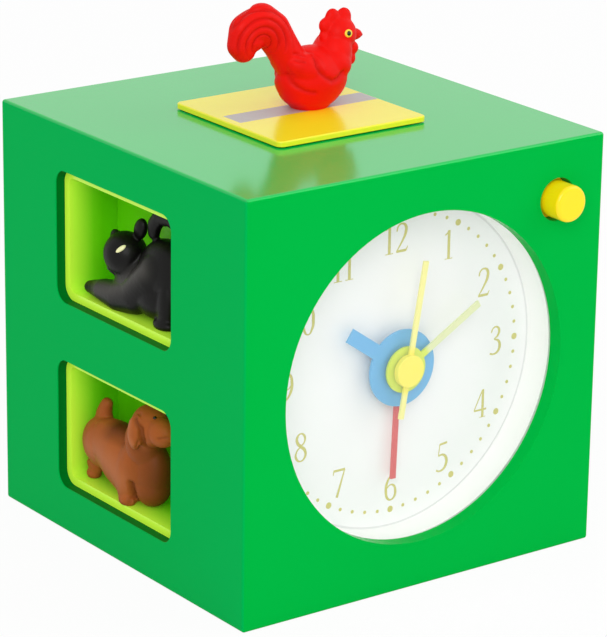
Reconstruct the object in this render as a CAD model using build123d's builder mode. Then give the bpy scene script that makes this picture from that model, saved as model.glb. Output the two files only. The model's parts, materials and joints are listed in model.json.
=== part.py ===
from build123d import *
import os
from math import acos, atan2, cos, degrees, hypot, pi, radians, sin, tan

# A cube-shaped alarm clock for a child's room, with a deep round dial in front, two niches with
# animal figures in its left side, a figure on a perch on top and a quartz movement inside.
# Origin at the centre of the base, front towards -Y, +Z up, millimetres.

# Case boards
case_size = 110.0
board = 4.0
edge_round = 0.8
seat_clearance = 0.1
back_recess = 5.0
panel_clearance = 0.2
block_size = 10.0
block_length = 10.0
back_screw_radius = 1.3
back_screw_bite = 8.0
back_screw_head_radius = 2.8
back_screw_head_height = 1.6

# Windows in the left board, and the niche trays whose mouths stand in them
window_front_margin = 31.6
window_rear_margin = 26.0
window_end_margin = 12.2
window_corner = 4.0
window_bar = 15.6
tray_sink = 2.7
tray_fit = 0.1
tray_wall = 2.2
tray_depth = 14.6
tray_back = 1.5
tray_flange = 3.0
tray_flange_thickness = 1.2
figure_clearance = 0.1

# Perch on top
perch_size = 46.0
perch_thickness = 1.4
perch_corner = 1.8
perch_edge_round = 0.4
perch_forward = 0.5
perch_pad_size = 40.0
perch_pad_thickness = 0.4
strip_length = 43.2
strip_width = 7.6
strip_thickness = 0.5
strip_aside = 1.0
strip_rearward = 0.5

# Dial opening, cup, lens and dial
opening_margin = 12.0
dial_depth = 13.6
cup_lip = 0.5
cup_wall = 2.5
cup_ledge = 1.5
lens_thickness = 1.2
dial_thickness = 1.0
lug_radius = 2.6
lug_reach = 2.0
lug_thickness = 2.0
dial_screw_radius = 0.9
dial_screw_bite = 2.5
dial_screw_head_radius = 1.9
dial_screw_head_height = 1.2

# Concentric arbors at the dial's centre
second_shaft_radius = 0.6
tube_wall = 0.5
arbor_clearance = 0.1
bush_wall = 1.4
bush_proud = 1.6
nut_flats = 10.0
nut_thickness = 1.4

# Hands, each on its own plane in front of the dial; angles run clockwise from twelve
hand_thickness = 0.6
alarm_hand_lift = 1.8
alarm_hand_reach = 29.8
alarm_hand_width = 1.9
alarm_hand_hub = 3.6
alarm_hand_angle = 182.0
hour_hand_lift = 3.1
hour_hand_reach = 20.0
hour_hand_width = 3.8
hour_hand_hub = 10.0
hour_hand_angle = 305.0
minute_hand_lift = 4.7
minute_hand_reach = 26.5
minute_hand_width = 2.4
minute_hand_hub = 6.0
minute_hand_angle = 60.0
second_hand_lift = 5.9
second_hand_reach = 28.2
second_hand_tail = 12.6
second_hand_width = 1.5
second_cap_radius = 4.2
second_cap_thickness = 1.4
second_hand_angle = 9.6

# Movement case and gear train
movement_size = 56.0
movement_corner = 3.0
movement_wall = 1.5
rear_room = 3.1
wheel_thickness = 1.0
wheel_gap = 0.7
end_play = 0.2
pin_radius = 0.5
pivot_radius = 0.8
pivot_length = 0.8
boss_radius = 2.5
boss_inset = 4.5
movement_screw_radius = 0.8
movement_screw_head_radius = 1.7
movement_screw_head_height = 1.0
movement_screw_bite = 1.0
reduction_distance = 11.0
third_distance = 11.0
intermediate_distance = 10.5
rotor_distance = 9.0
set_angle = 60.0
rotor_angle = 240.0
spindle_radius = 1.5
magnet_radius = 2.5
magnet_length = 2.6
magnet_level = 7.0
rotor_hub_radius = 1.0

# Gear teeth, as shares of the module
pressure_angle = 30.0
addendum_share = 0.75
dedendum_share = 1.05
backlash_share = 0.16

# Stepping motor and circuit inside the movement
stator_width = 9.8
stator_height = 19.5
stator_thickness = 0.8
stator_leg = 1.3
stator_bore = 3.0
stator_bar = 2.5
stator_rise = 4.3
stator_aside = 0.5
stator_post_radius = 0.9
coil_radius = 4.0
coil_length = 6.0
small_board_length = 38.0
small_board_height = 11.0
small_board_thickness = 1.0
small_board_rise = 19.8
small_board_post = 1.6
crystal_radius = 1.4
crystal_length = 6.0

# Setting knobs at the back
knob_radius = 6.5
knob_length = 3.9
knob_gap = 0.6
knob_grip_radius = 0.7
knob_grips = 24
knob_edge_round = 0.5
knob_bore_depth = 2.6

# Front button
button_beyond = 13.6
button_angle = 44.6
button_radius = 4.75
button_proud = 5.6
button_round = 1.0
button_hole = 5.6
button_collar_radius = 6.4
button_collar_thickness = 1.5
button_travel = 2.5
button_stem_radius = 1.6
button_guide_clearance = 0.3
button_housing_wall = 1.3
button_housing_length = 12.0
spring_wire = 0.35
spring_radius = 4.2
spring_turns = 4
switch_size = 6.2
switch_depth = 3.6
switch_gap = 0.3

# Battery box, cells and door
cell_radius = 7.25
cell_length = 49.0
cell_nub_radius = 2.75
cell_nub_length = 1.5
cell_count = 3
cell_gap = 0.6
contact_thickness = 0.5
contact_spring = 2.0
contact_radius = 3.0
box_wall = 1.5
box_rise = 5.6
door_ledge = 1.5
door_thickness = 2.5
door_clearance = 0.3
door_corner = 2.0
finger_slot_length = 14.0
finger_slot_width = 4.0
finger_slot_depth = 1.2

# Main circuit board and speaker
main_board_length = 50.0
main_board_height = 40.0
main_board_thickness = 1.6
standoff_radius = 2.2
standoff_length = 3.0
standoff_inset = 5.0
chip_length = 12.0
chip_width = 8.0
chip_thickness = 2.2
chip_leg = 0.6
chip_legs = 7
speaker_drop = 20.0
speaker_radius = 18.0
speaker_rim = 2.2
speaker_rim_thickness = 1.2
speaker_depth = 8.0
speaker_wall = 0.8
speaker_throat = 9.5
speaker_magnet_radius = 11.0
speaker_magnet_depth = 4.5
cone_thickness = 0.6
cone_drop = 4.0
cone_rim_gap = 0.3
cone_dome = 4.5
grille_hole_radius = 1.1
grille_pitch = 4.4
grille_rings = 3

# Alarm on and off switch at the back
slide_margin = 15.0
slide_body_length = 13.0
slide_body_height = 6.5
slide_body_depth = 5.5
slide_wall = 1.0
slide_stub_length = 4.0
slide_stub_height = 2.6
slide_stub_proud = 2.0
slide_travel = 4.0
slide_clearance = 0.3
slide_shoe = 1.6

# Figures: overall sizes along X, Y and Z, and the place of each base
rooster_length = 42.0
rooster_width = 17.0
rooster_height = 29.2
rooster_aside = 3.0
rooster_rearward = 0.5
cat_depth = 14.0
cat_end_room = 2.4
cat_headroom = 6.0
cat_inset = 6.0
cat_forward = 2.6
dog_depth = 14.0
dog_end_room = 12.4
dog_headroom = 7.0
dog_inset = 4.2
dog_rearward = 4.7

# Swellings that make up each figure: place of the middle, reach each way and tilt in degrees about
# X, Y and Z. Places and reaches are shares of the figure's own length, width and height.
rooster_shares = (
    ((0.02, 0, 0.26), (0.228, 0.47, 0.281), (0, 0, 0)),
    ((0, 0, 0.05), (0.171, 0.388, 0.154), (0, 0, 0)),
    ((0.157, 0, 0.452), (0.128, 0.306, 0.257), (0, 25, 0)),
    ((0.229, 0, 0.61), (0.112, 0.259, 0.158), (0, 0, 0)),
    ((0.02, 0.38, 0.3), (0.14, 0.13, 0.158), (0, -10, 0)),
    ((0.02, -0.38, 0.3), (0.14, 0.13, 0.158), (0, -10, 0)),
    ((0.33, 0, 0.58), (0.075, 0.094, 0.055), (0, 8, 0)),
    ((0.32, 0.08, 0.45), (0.04, 0.076, 0.08), (0, 0, 0)),
    ((0.32, -0.08, 0.45), (0.04, 0.076, 0.08), (0, 0, 0)),
    ((0.128, 0, 0.7), (0.05, 0.08, 0.08), (0, 0, 0)),
    ((0.18, 0, 0.765), (0.05, 0.08, 0.085), (0, 0, 0)),
    ((0.26, 0, 0.755), (0.055, 0.08, 0.085), (0, 0, 0)),
    ((-0.145, 0, 0.452), (0.09, 0.26, 0.16), (0, 0, 0)),
    ((-0.214, 0, 0.606), (0.1, 0.24, 0.15), (0, 0, 0)),
    ((-0.274, 0, 0.74), (0.116, 0.23, 0.165), (0, 0, 0)),
    ((-0.357, 0, 0.822), (0.121, 0.22, 0.172), (0, 0, 0)),
    ((-0.462, 0, 0.774), (0.118, 0.2, 0.16), (0, 0, 0)),
    ((-0.51, 0, 0.644), (0.08, 0.16, 0.12), (0, 0, 0)),
    ((-0.49, 0, 0.545), (0.045, 0.12, 0.075), (0, 0, 0)),
)
cat_shares = (
    ((0.05, -0.13, 0.4), (0.43, 0.2, 0.32), (0, 0, 0)),
    ((0.12, -0.29, 0.34), (0.38, 0.115, 0.31), (0, 0, 0)),
    ((-0.06, 0.08, 0.27), (0.36, 0.17, 0.25), (0, 0, 0)),
    ((-0.2, 0.155, 0.5), (0.4, 0.125, 0.21), (0, 0, 0)),
    ((-0.22, 0.22, 0.4), (0.25, 0.075, 0.12), (0, 0, 0)),
    ((-0.28, 0.215, 0.64), (0.1, 0.045, 0.1), (-28, 0, 0)),
    ((-0.06, 0.075, 0.75), (0.13, 0.055, 0.14), (25, 0, 0)),
    ((-0.1, 0.24, 0.15), (0.25, 0.19, 0.15), (12, 0, 0)),
    ((-0.12, 0.4, 0.13), (0.2, 0.08, 0.08), (0, 0, 0)),
    ((-0.24, -0.16, 0.16), (0.17, 0.06, 0.22), (0, 0, 0)),
    ((-0.26, -0.17, 0.03), (0.2, 0.075, 0.06), (0, 0, 0)),
    ((0.06, -0.355, 0.62), (0.13, 0.05, 0.18), (-10, 0, 0)),
    ((0.03, -0.3, 0.82), (0.13, 0.05, 0.14), (-35, 0, 0)),
    ((0, -0.17, 0.93), (0.13, 0.13, 0.07), (0, 0, 0)),
    ((-0.02, -0.05, 0.83), (0.13, 0.042, 0.13), (14, 0, 0)),
)
dog_shares = (
    ((0.06, 0.12, 0.36), (0.38, 0.29, 0.23), (0, 0, -8)),
    ((0.12, 0.27, 0.35), (0.38, 0.19, 0.25), (0, 0, 0)),
    ((-0.04, -0.14, 0.32), (0.4, 0.16, 0.32), (0, 0, 0)),
    ((-0.06, -0.2, 0.58), (0.34, 0.13, 0.24), (-28, 0, 0)),
    ((-0.1, -0.31, 0.8), (0.38, 0.145, 0.2), (0, 0, 0)),
    ((-0.16, -0.45, 0.76), (0.24, 0.12, 0.11), (0, 0, 0)),
    ((-0.42, -0.27, 0.77), (0.11, 0.065, 0.19), (10, 0, 0)),
    ((0.24, -0.27, 0.77), (0.11, 0.065, 0.19), (10, 0, 0)),
    ((-0.26, -0.14, 0.16), (0.16, 0.075, 0.24), (0, 0, 0)),
    ((-0.28, -0.17, 0.03), (0.18, 0.1, 0.065), (0, 0, 0)),
    ((0.22, -0.14, 0.16), (0.16, 0.075, 0.24), (0, 0, 0)),
    ((0.2, -0.17, 0.03), (0.18, 0.1, 0.065), (0, 0, 0)),
    ((0.1, 0.34, 0.17), (0.18, 0.11, 0.18), (0, 0, 0)),
    ((0.12, 0.36, 0.03), (0.16, 0.085, 0.065), (0, 0, 0)),
    ((0.38, 0.33, 0.17), (0.16, 0.11, 0.18), (0, 0, 0)),
    ((0.4, 0.35, 0.03), (0.14, 0.085, 0.065), (0, 0, 0)),
    ((0.08, 0.35, 0.62), (0.12, 0.045, 0.12), (20, 0, 0)),
    ((0.08, 0.31, 0.74), (0.11, 0.04, 0.1), (30, 0, 0)),
)
seam_turn = 37.0

# Sizes that follow from the ones above
half = case_size / 2
front_y = -half
front_inner_y = front_y + board
side_inner = half - board
top_inner = case_size - board
axis_height = half
panel_outer_y = half - back_recess
panel_inner_y = panel_outer_y - board
dial_y = front_y + dial_depth
dial_back_y = dial_y + dial_thickness
inside_y = dial_back_y + movement_wall
opening_radius = half - opening_margin
cup_bore = opening_radius + cup_lip
lens_radius = cup_bore + cup_ledge
cup_outer = cup_bore + cup_wall
minute_tube_bore = second_shaft_radius + arbor_clearance
minute_tube_radius = minute_tube_bore + tube_wall
hour_tube_bore = minute_tube_radius + arbor_clearance
hour_tube_radius = hour_tube_bore + tube_wall
alarm_tube_bore = hour_tube_radius + arbor_clearance
alarm_tube_radius = alarm_tube_bore + tube_wall
bush_bore = alarm_tube_radius + arbor_clearance
bush_radius = bush_bore + bush_wall
pin_bore = pin_radius + arbor_clearance
wheel_step = wheel_thickness + wheel_gap
train_count = 7
rear_inner_y = inside_y + train_count * wheel_step + rear_room
movement_back_y = rear_inner_y + movement_wall
perch_under = case_size + perch_pad_thickness
perch_top = perch_under + perch_thickness
window_length = case_size - window_front_margin - window_rear_margin
window_height = (case_size - window_bar) / 2 - window_end_margin
window_rearward = (window_front_margin - window_rear_margin) / 2
window_rise = (window_bar + window_height) / 2
tray_length = window_length - tray_fit * 2
tray_height = window_height - tray_fit * 2
tray_corner = window_corner - tray_fit
cat_length = window_length - cat_end_room
cat_height = window_height - cat_headroom
dog_length = window_length - dog_end_room
dog_height = window_height - dog_headroom
speaker_rise = top_inner - speaker_drop - axis_height
slide_aside = side_inner - slide_margin

# Teeth of each wheel and pinion
minute_pinion_teeth = 10
reduction_wheel_teeth = 30
reduction_pinion_teeth = 8
hour_wheel_teeth = 32
set_pinion_teeth = 10
alarm_wheel_teeth = 48
alarm_pinion_teeth = 16
second_pinion_teeth = 8
third_wheel_teeth = 60
third_pinion_teeth = 8
centre_wheel_teeth = 64
second_wheel_teeth = 48
intermediate_pinion_teeth = 8
intermediate_wheel_teeth = 40
rotor_pinion_teeth = 8

# Order of the wheels from the dial backwards
alarm_level, hour_level, minute_level, centre_level = range(4)
third_level, second_level, rotor_level = range(centre_level + 1, train_count)


def level(order):
    """Depth of the front of one layer of wheels."""
    return inside_y + wheel_gap + order * wheel_step


def facing(depth):
    """Plane seen from the front, centred on the dial's axis, that extrudes towards the front."""
    return Plane(origin=(0, depth, axis_height), x_dir=(1, 0, 0), z_dir=(0, -1, 0))


def away(distance, angle):
    """Place at a distance and an angle from the dial's axis, seen from the front."""
    return (distance * cos(radians(angle)), distance * sin(radians(angle)))


button_place = away(opening_radius + button_beyond, button_angle)
button_aside, button_rise = button_place


def module_of(distance, first_teeth, second_teeth):
    """Module of two gears that mesh at a distance."""
    return distance * 2 / (first_teeth + second_teeth)


def partner_turn(first_teeth, first_turn, second_teeth, direction):
    """Turn of a gear that puts its gaps on the teeth of the gear it meshes with."""
    swing = (first_turn - direction) * first_teeth / second_teeth
    return direction + 180 - swing - 180 / second_teeth


def gear_face(teeth, module, turn, place=(0, 0)):
    """Outline of an involute gear, filled, with one tooth at the given turn."""
    pitch = module * teeth / 2
    base = pitch * cos(radians(pressure_angle))
    tip = pitch + addendum_share * module
    root = pitch - dedendum_share * module
    half_tooth = pi / 2 / teeth * (1 - backlash_share)

    def involute(radius):
        angle = acos(min(1, base / radius))
        return tan(angle) - angle

    flank = []
    for radius in (root, (root + pitch) / 2, pitch, tip):
        flank.append((radius, half_tooth + involute(pitch) - involute(max(radius, base))))
    corners = []
    for tooth in range(teeth):
        middle = radians(turn) + tooth * 2 * pi / teeth
        for radius, swing in flank:
            corners.append((radius, middle - swing))
        for radius, swing in reversed(flank):
            corners.append((radius, middle + swing))
    points = []
    for radius, angle in corners:
        points.append((place[0] + radius * cos(angle), place[1] + radius * sin(angle)))
    with BuildLine() as outline:
        Polyline(*points, close=True)
    make_face(outline.edges())


def swellings(shares, sizes):
    """Add a figure's swellings, each a ball in two half skins stretched by the figure's sizes."""
    whole_ball = Sphere(1, mode=Mode.PRIVATE)
    half_ball = split(whole_ball, bisect_by=Plane.XZ, keep=Keep.TOP, mode=Mode.PRIVATE)
    half_skin = half_ball.faces().filter_by(GeomType.SPHERE)[0]
    ball = Solid(Shell([half_skin, half_skin.rotate(Axis.Z, 180)]))
    swollen = []
    for order, (place_shares, reach_shares, tilt) in enumerate(shares):
        reach = tuple(share * size for share, size in zip(reach_shares, sizes))
        place = tuple(share * size for share, size in zip(place_shares, sizes))
        stretched = scale(ball.rotate(Axis.Z, seam_turn * order), by=reach, mode=Mode.PRIVATE)
        swollen.append(Location(place, tilt) * stretched)
    add(swollen, clean=False)


os.makedirs("parts", exist_ok=True)

# Front board, with the round dial opening and the button's hole
with BuildPart() as front_board:
    with BuildSketch(facing(front_inner_y)):
        Rectangle(case_size, case_size)
    extrude(amount=board)
    front_edges = front_board.faces().sort_by(Axis.Y)[0].edges()
    fillet(front_edges + front_board.edges().filter_by(Axis.Y), edge_round)
    with BuildSketch(facing(front_inner_y)):
        Circle(opening_radius)
        with Locations((button_aside, button_rise)):
            Circle(button_hole)
    extrude(amount=board, mode=Mode.SUBTRACT)
    with BuildSketch(facing(front_inner_y)):
        with PolarLocations(cup_outer + lug_reach, 4):
            Circle(dial_screw_radius)
    extrude(amount=dial_screw_bite, mode=Mode.SUBTRACT)
front_board.part.label = "front_board"
export_step(front_board.part, "parts/front_board.step")

# Side boards stand behind the front board; the left one has the two windows
side_length = case_size - board
side_middle_y = front_inner_y + side_length / 2
left_plane = Plane(origin=(-side_inner, side_middle_y, axis_height), x_dir=(0, 1, 0), z_dir=(-1, 0, 0))
right_plane = Plane(origin=(side_inner, side_middle_y, axis_height), x_dir=(0, 1, 0), z_dir=(1, 0, 0))
window_plane = Plane(origin=(-side_inner, window_rearward, axis_height), x_dir=(0, -1, 0), z_dir=(-1, 0, 0))

with BuildPart() as left_board:
    with BuildSketch(left_plane):
        Rectangle(side_length, case_size)
    extrude(amount=board)
    outer_edges = left_board.faces().sort_by(Axis.X)[0].edges().sort_by(Axis.Y)[1:]
    rear_edges = left_board.faces().sort_by(Axis.Y)[-1].edges().filter_by(Axis.X)
    fillet(outer_edges + rear_edges, edge_round)
    with BuildSketch(window_plane):
        with Locations((0, window_rise), (0, -window_rise)):
            RectangleRounded(window_length, window_height, window_corner)
    extrude(amount=board, mode=Mode.SUBTRACT)
left_board.part.label = "left_board"
export_step(left_board.part, "parts/left_board.step")

with BuildPart() as right_board:
    with BuildSketch(right_plane):
        Rectangle(side_length, case_size)
    extrude(amount=board)
    outer_edges = right_board.faces().sort_by(Axis.X)[-1].edges().sort_by(Axis.Y)[1:]
    rear_edges = right_board.faces().sort_by(Axis.Y)[-1].edges().filter_by(Axis.X)
    fillet(outer_edges + rear_edges, edge_round)
right_board.part.label = "right_board"
export_step(right_board.part, "parts/right_board.step")

# Top and base boards lie between the sides
with BuildPart() as top_board:
    with BuildSketch(Plane.XY.offset(top_inner)):
        with Locations((0, front_inner_y + side_length / 2)):
            Rectangle(side_inner * 2, side_length)
    extrude(amount=board)
    fillet(top_board.faces().sort_by(Axis.Z)[-1].edges().sort_by(Axis.Y)[-1], edge_round)
top_board.part.label = "top_board"
export_step(top_board.part, "parts/top_board.step")

with BuildPart() as base_board:
    with BuildSketch(Plane.XY):
        with Locations((0, front_inner_y + side_length / 2)):
            Rectangle(side_inner * 2, side_length)
    extrude(amount=board)
    fillet(base_board.faces().sort_by(Axis.Z)[0].edges().sort_by(Axis.Y)[-1], edge_round)
base_board.part.label = "base_board"
export_step(base_board.part, "parts/base_board.step")

# Back panel, set in behind the rim, with the door's opening, the grille and the setting holes
panel_size = (side_inner - panel_clearance) * 2
block_middle = side_inner - block_size / 2
set_place = (
    reduction_distance + reduction_distance * cos(radians(set_angle)),
    reduction_distance * sin(radians(set_angle)),
)
alarm_set_place = (-set_place[0], set_place[1])
spindle_bore = spindle_radius + arbor_clearance
box_inner_length = cell_length + cell_nub_length + (contact_thickness + contact_spring) * 2
cell_pitch = cell_radius * 2 + cell_gap
box_inner_height = cell_pitch * cell_count
box_length = box_inner_length + box_wall * 2
box_height = box_inner_height + box_wall * 2
box_middle = box_rise + box_height / 2 - axis_height
door_length = box_inner_length + door_ledge * 2 - door_clearance * 2
door_height = box_inner_height + door_ledge * 2 - door_clearance * 2
slide_place = (-slide_aside, set_place[1])

with BuildPart() as back_panel:
    with BuildSketch(facing(panel_outer_y)):
        Rectangle(panel_size, panel_size)
        with GridLocations(block_middle * 2, block_middle * 2, 2, 2):
            Circle(back_screw_radius, mode=Mode.SUBTRACT)
        with Locations(set_place, alarm_set_place):
            Circle(spindle_bore, mode=Mode.SUBTRACT)
        with Locations((0, box_middle)):
            RectangleRounded(box_inner_length, box_inner_height, door_corner, mode=Mode.SUBTRACT)
        with Locations(slide_place):
            Rectangle(
                slide_stub_length + slide_travel + slide_clearance * 2,
                slide_stub_height + slide_clearance * 2,
                mode=Mode.SUBTRACT,
            )
        with Locations((0, speaker_rise)):
            Circle(grille_hole_radius, mode=Mode.SUBTRACT)
            for ring in range(1, grille_rings + 1):
                with PolarLocations(grille_pitch * ring, ring * 6):
                    Circle(grille_hole_radius, mode=Mode.SUBTRACT)
    extrude(amount=board)
    with BuildSketch(facing(panel_outer_y)):
        with Locations((0, box_middle)):
            RectangleRounded(
                door_length + door_clearance * 2, door_height + door_clearance * 2, door_corner + door_ledge
            )
    extrude(amount=door_thickness, mode=Mode.SUBTRACT)
back_panel.part.label = "back_panel"
export_step(back_panel.part, "parts/back_panel.step")

# Blocks in the four corners that the back panel is screwed to
with BuildPart() as corner_blocks:
    with BuildSketch(facing(panel_inner_y)):
        with GridLocations(block_middle * 2, block_middle * 2, 2, 2):
            Rectangle(block_size, block_size)
    extrude(amount=block_length)
    with BuildSketch(facing(panel_inner_y)):
        with GridLocations(block_middle * 2, block_middle * 2, 2, 2):
            Circle(back_screw_radius)
    extrude(amount=back_screw_bite, mode=Mode.SUBTRACT)
corner_blocks.part.label = "corner_blocks"
export_step(corner_blocks.part, "parts/corner_blocks.step")

with BuildPart() as back_screws:
    with BuildSketch(facing(panel_outer_y)):
        with GridLocations(block_middle * 2, block_middle * 2, 2, 2):
            Circle(back_screw_radius)
    extrude(amount=board + back_screw_bite)
    with BuildSketch(facing(panel_outer_y)):
        with GridLocations(block_middle * 2, block_middle * 2, 2, 2):
            Circle(back_screw_head_radius)
    extrude(amount=-back_screw_head_height)
    fillet(back_screws.faces().group_by(Axis.Y)[-1].edges(), back_screw_head_height / 2)
    with BuildSketch(facing(panel_outer_y + back_screw_head_height)):
        with GridLocations(block_middle * 2, block_middle * 2, 2, 2):
            Rectangle(back_screw_head_radius, back_screw_head_radius / 4)
            Rectangle(back_screw_head_radius / 4, back_screw_head_radius)
    extrude(amount=back_screw_head_height / 2, mode=Mode.SUBTRACT)
back_screws.part.label = "back_screws"
export_step(back_screws.part, "parts/back_screws.step")

# Perch: an adhesive pad, a plate with rounded edges and a strip let into it
perch_plane = Plane.XY.offset(perch_under)
with BuildPart() as perch_pad:
    with BuildSketch(Plane.XY.offset(case_size)):
        with Locations((0, -perch_forward)):
            RectangleRounded(perch_pad_size, perch_pad_size, perch_corner)
    extrude(amount=perch_pad_thickness)
perch_pad.part.label = "perch_pad"
export_step(perch_pad.part, "parts/perch_pad.step")

with BuildPart() as perch_plate:
    with BuildSketch(perch_plane):
        with Locations((0, -perch_forward)):
            RectangleRounded(perch_size, perch_size, perch_corner)
    extrude(amount=perch_thickness)
    fillet(perch_plate.faces().sort_by(Axis.Z)[-1].edges(), perch_edge_round)
    with BuildSketch(Plane.XY.offset(perch_top)):
        with Locations((strip_aside, strip_rearward)):
            Rectangle(strip_length, strip_width)
    extrude(amount=-strip_thickness, mode=Mode.SUBTRACT)
perch_plate.part.label = "perch_plate"
export_step(perch_plate.part, "parts/perch_plate.step")

with BuildPart() as perch_strip:
    with BuildSketch(Plane.XY.offset(perch_top)):
        with Locations((strip_aside, strip_rearward)):
            Rectangle(strip_length, strip_width)
    extrude(amount=-strip_thickness)
perch_strip.part.label = "perch_strip"
export_step(perch_strip.part, "parts/perch_strip.step")


# Niche trays: each mouth stands in its window, and a flange is glued behind the board
for tray_name, rise in (("upper_window_tray", window_rise), ("lower_window_tray", -window_rise)):
    board_plane = window_plane.offset(0)
    board_plane.origin += Vector(0, 0, rise)
    mouth_plane = board_plane.offset(board - tray_sink)
    with BuildPart() as tray:
        with BuildSketch(mouth_plane):
            RectangleRounded(tray_length, tray_height, tray_corner)
        extrude(amount=-tray_depth - tray_back)
        with BuildSketch(board_plane):
            Rectangle(tray_length + tray_flange * 2, tray_height + tray_flange * 2)
        extrude(amount=-tray_flange_thickness)
        with BuildSketch(mouth_plane):
            RectangleRounded(
                tray_length - tray_wall * 2, tray_height - tray_wall * 2, tray_corner - tray_wall
            )
        extrude(amount=-tray_depth, mode=Mode.SUBTRACT)
    tray.part.label = tray_name
    export_step(tray.part, f"parts/{tray_name}.step")

# Dial cup behind the front board, with a ledge in front for the lens and one behind for the dial
with BuildPart() as dial_cup:
    with BuildSketch(facing(dial_back_y)):
        Circle(cup_outer)
    extrude(amount=dial_back_y - front_inner_y)
    with BuildSketch(facing(front_inner_y)):
        with PolarLocations(cup_outer + lug_reach, 4):
            Circle(lug_radius)
        with PolarLocations(cup_outer, 4):
            Rectangle(lug_reach * 2, lug_radius * 2)
    extrude(amount=-lug_thickness)
    with BuildSketch(facing(dial_back_y)):
        Circle(cup_bore)
        with PolarLocations(cup_outer + lug_reach, 4):
            Circle(dial_screw_radius)
    extrude(amount=dial_back_y - front_inner_y, mode=Mode.SUBTRACT)
    with BuildSketch(facing(front_inner_y)):
        Circle(lens_radius + seat_clearance)
    extrude(amount=-lens_thickness, mode=Mode.SUBTRACT)
    with BuildSketch(facing(dial_back_y)):
        Circle(lens_radius + seat_clearance)
    extrude(amount=dial_thickness, mode=Mode.SUBTRACT)
dial_cup.part.label = "dial_cup"
export_step(dial_cup.part, "parts/dial_cup.step")

with BuildPart() as dial_lens:
    with BuildSketch(facing(front_inner_y)):
        Circle(lens_radius)
    extrude(amount=-lens_thickness)
dial_lens.part.label = "dial_lens"
export_step(dial_lens.part, "parts/dial_lens.step")

with BuildPart() as dial_plate:
    with BuildSketch(facing(dial_back_y)):
        Circle(lens_radius)
        Circle(bush_radius + arbor_clearance, mode=Mode.SUBTRACT)
    extrude(amount=dial_thickness)
dial_plate.part.label = "dial_plate"
export_step(dial_plate.part, "parts/dial_plate.step")

# Screws through the cup's lugs into the back of the front board
with BuildPart() as dial_screws:
    with BuildSketch(facing(front_inner_y + lug_thickness)):
        with PolarLocations(cup_outer + lug_reach, 4):
            Circle(dial_screw_radius)
    extrude(amount=lug_thickness + dial_screw_bite)
    with BuildSketch(facing(front_inner_y + lug_thickness)):
        with PolarLocations(cup_outer + lug_reach, 4):
            Circle(dial_screw_head_radius)
    extrude(amount=-dial_screw_head_height)
dial_screws.part.label = "dial_screws"
export_step(dial_screws.part, "parts/dial_screws.step")

# Nut on the movement's bush, clamping the dial
with BuildPart() as centre_nut:
    with BuildSketch(facing(dial_y)):
        RegularPolygon(nut_flats / 2, 6, major_radius=False)
        Circle(bush_radius, mode=Mode.SUBTRACT)
    extrude(amount=nut_thickness)
centre_nut.part.label = "centre_nut"
export_step(centre_nut.part, "parts/centre_nut.step")


# Hands
def hand_face(hub, bore, width, reach, angle, tail=0):
    """Flat hand: a round hub with a bore, and one bar that may run on past the hub."""
    Circle(hub)
    middle = (reach - tail) / 2
    with Locations((middle * sin(radians(angle)), middle * cos(radians(angle)))):
        Rectangle(width, reach + tail, rotation=-angle)
    if bore:
        Circle(bore, mode=Mode.SUBTRACT)


with BuildPart() as alarm_hand:
    with BuildSketch(facing(dial_y - alarm_hand_lift)):
        hand_face(alarm_hand_hub, alarm_tube_radius, alarm_hand_width, alarm_hand_reach, alarm_hand_angle)
    extrude(amount=hand_thickness)
alarm_hand.part.label = "alarm_hand"
export_step(alarm_hand.part, "parts/alarm_hand.step")

with BuildPart() as hour_hand:
    with BuildSketch(facing(dial_y - hour_hand_lift)):
        hand_face(hour_hand_hub, hour_tube_radius, hour_hand_width, hour_hand_reach, hour_hand_angle)
    extrude(amount=hand_thickness)
hour_hand.part.label = "hour_hand"
export_step(hour_hand.part, "parts/hour_hand.step")

with BuildPart() as minute_hand:
    with BuildSketch(facing(dial_y - minute_hand_lift)):
        hand_face(
            minute_hand_hub, minute_tube_radius, minute_hand_width, minute_hand_reach, minute_hand_angle
        )
    extrude(amount=hand_thickness)
minute_hand.part.label = "minute_hand"
export_step(minute_hand.part, "parts/minute_hand.step")

with BuildPart() as second_hand:
    with BuildSketch(facing(dial_y - second_hand_lift)):
        hand_face(
            second_cap_radius, 0, second_hand_width, second_hand_reach, second_hand_angle, second_hand_tail
        )
    extrude(amount=hand_thickness)
    with BuildSketch(facing(dial_y - second_hand_lift)):
        Circle(second_cap_radius)
    extrude(amount=second_cap_thickness)
    fillet(second_hand.faces().sort_by(Axis.Y)[0].edges(), hand_thickness / 2)
    with BuildSketch(facing(dial_y - second_hand_lift)):
        Circle(second_shaft_radius)
    extrude(amount=hand_thickness, mode=Mode.SUBTRACT)
second_hand.part.label = "second_hand"
export_step(second_hand.part, "parts/second_hand.step")

# Gears: module from the distance between centres, and turns that put teeth into gaps
reduction_place = away(reduction_distance, 0)
third_place = away(third_distance, -90)
intermediate_place = away(intermediate_distance, 180)
rotor_place = (
    intermediate_place[0] + rotor_distance * cos(radians(rotor_angle)),
    intermediate_place[1] + rotor_distance * sin(radians(rotor_angle)),
)
alarm_distance = hypot(*alarm_set_place)
alarm_direction = degrees(atan2(alarm_set_place[1], alarm_set_place[0]))
motion_module = module_of(reduction_distance, minute_pinion_teeth, reduction_wheel_teeth)
hour_module = module_of(reduction_distance, reduction_pinion_teeth, hour_wheel_teeth)
alarm_module = module_of(alarm_distance, alarm_wheel_teeth, alarm_pinion_teeth)
third_module = module_of(third_distance, second_pinion_teeth, third_wheel_teeth)
centre_module = module_of(third_distance, third_pinion_teeth, centre_wheel_teeth)
second_module = module_of(intermediate_distance, second_wheel_teeth, intermediate_pinion_teeth)
rotor_module = module_of(rotor_distance, intermediate_wheel_teeth, rotor_pinion_teeth)
reduction_turn = partner_turn(minute_pinion_teeth, 0, reduction_wheel_teeth, 0)
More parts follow.
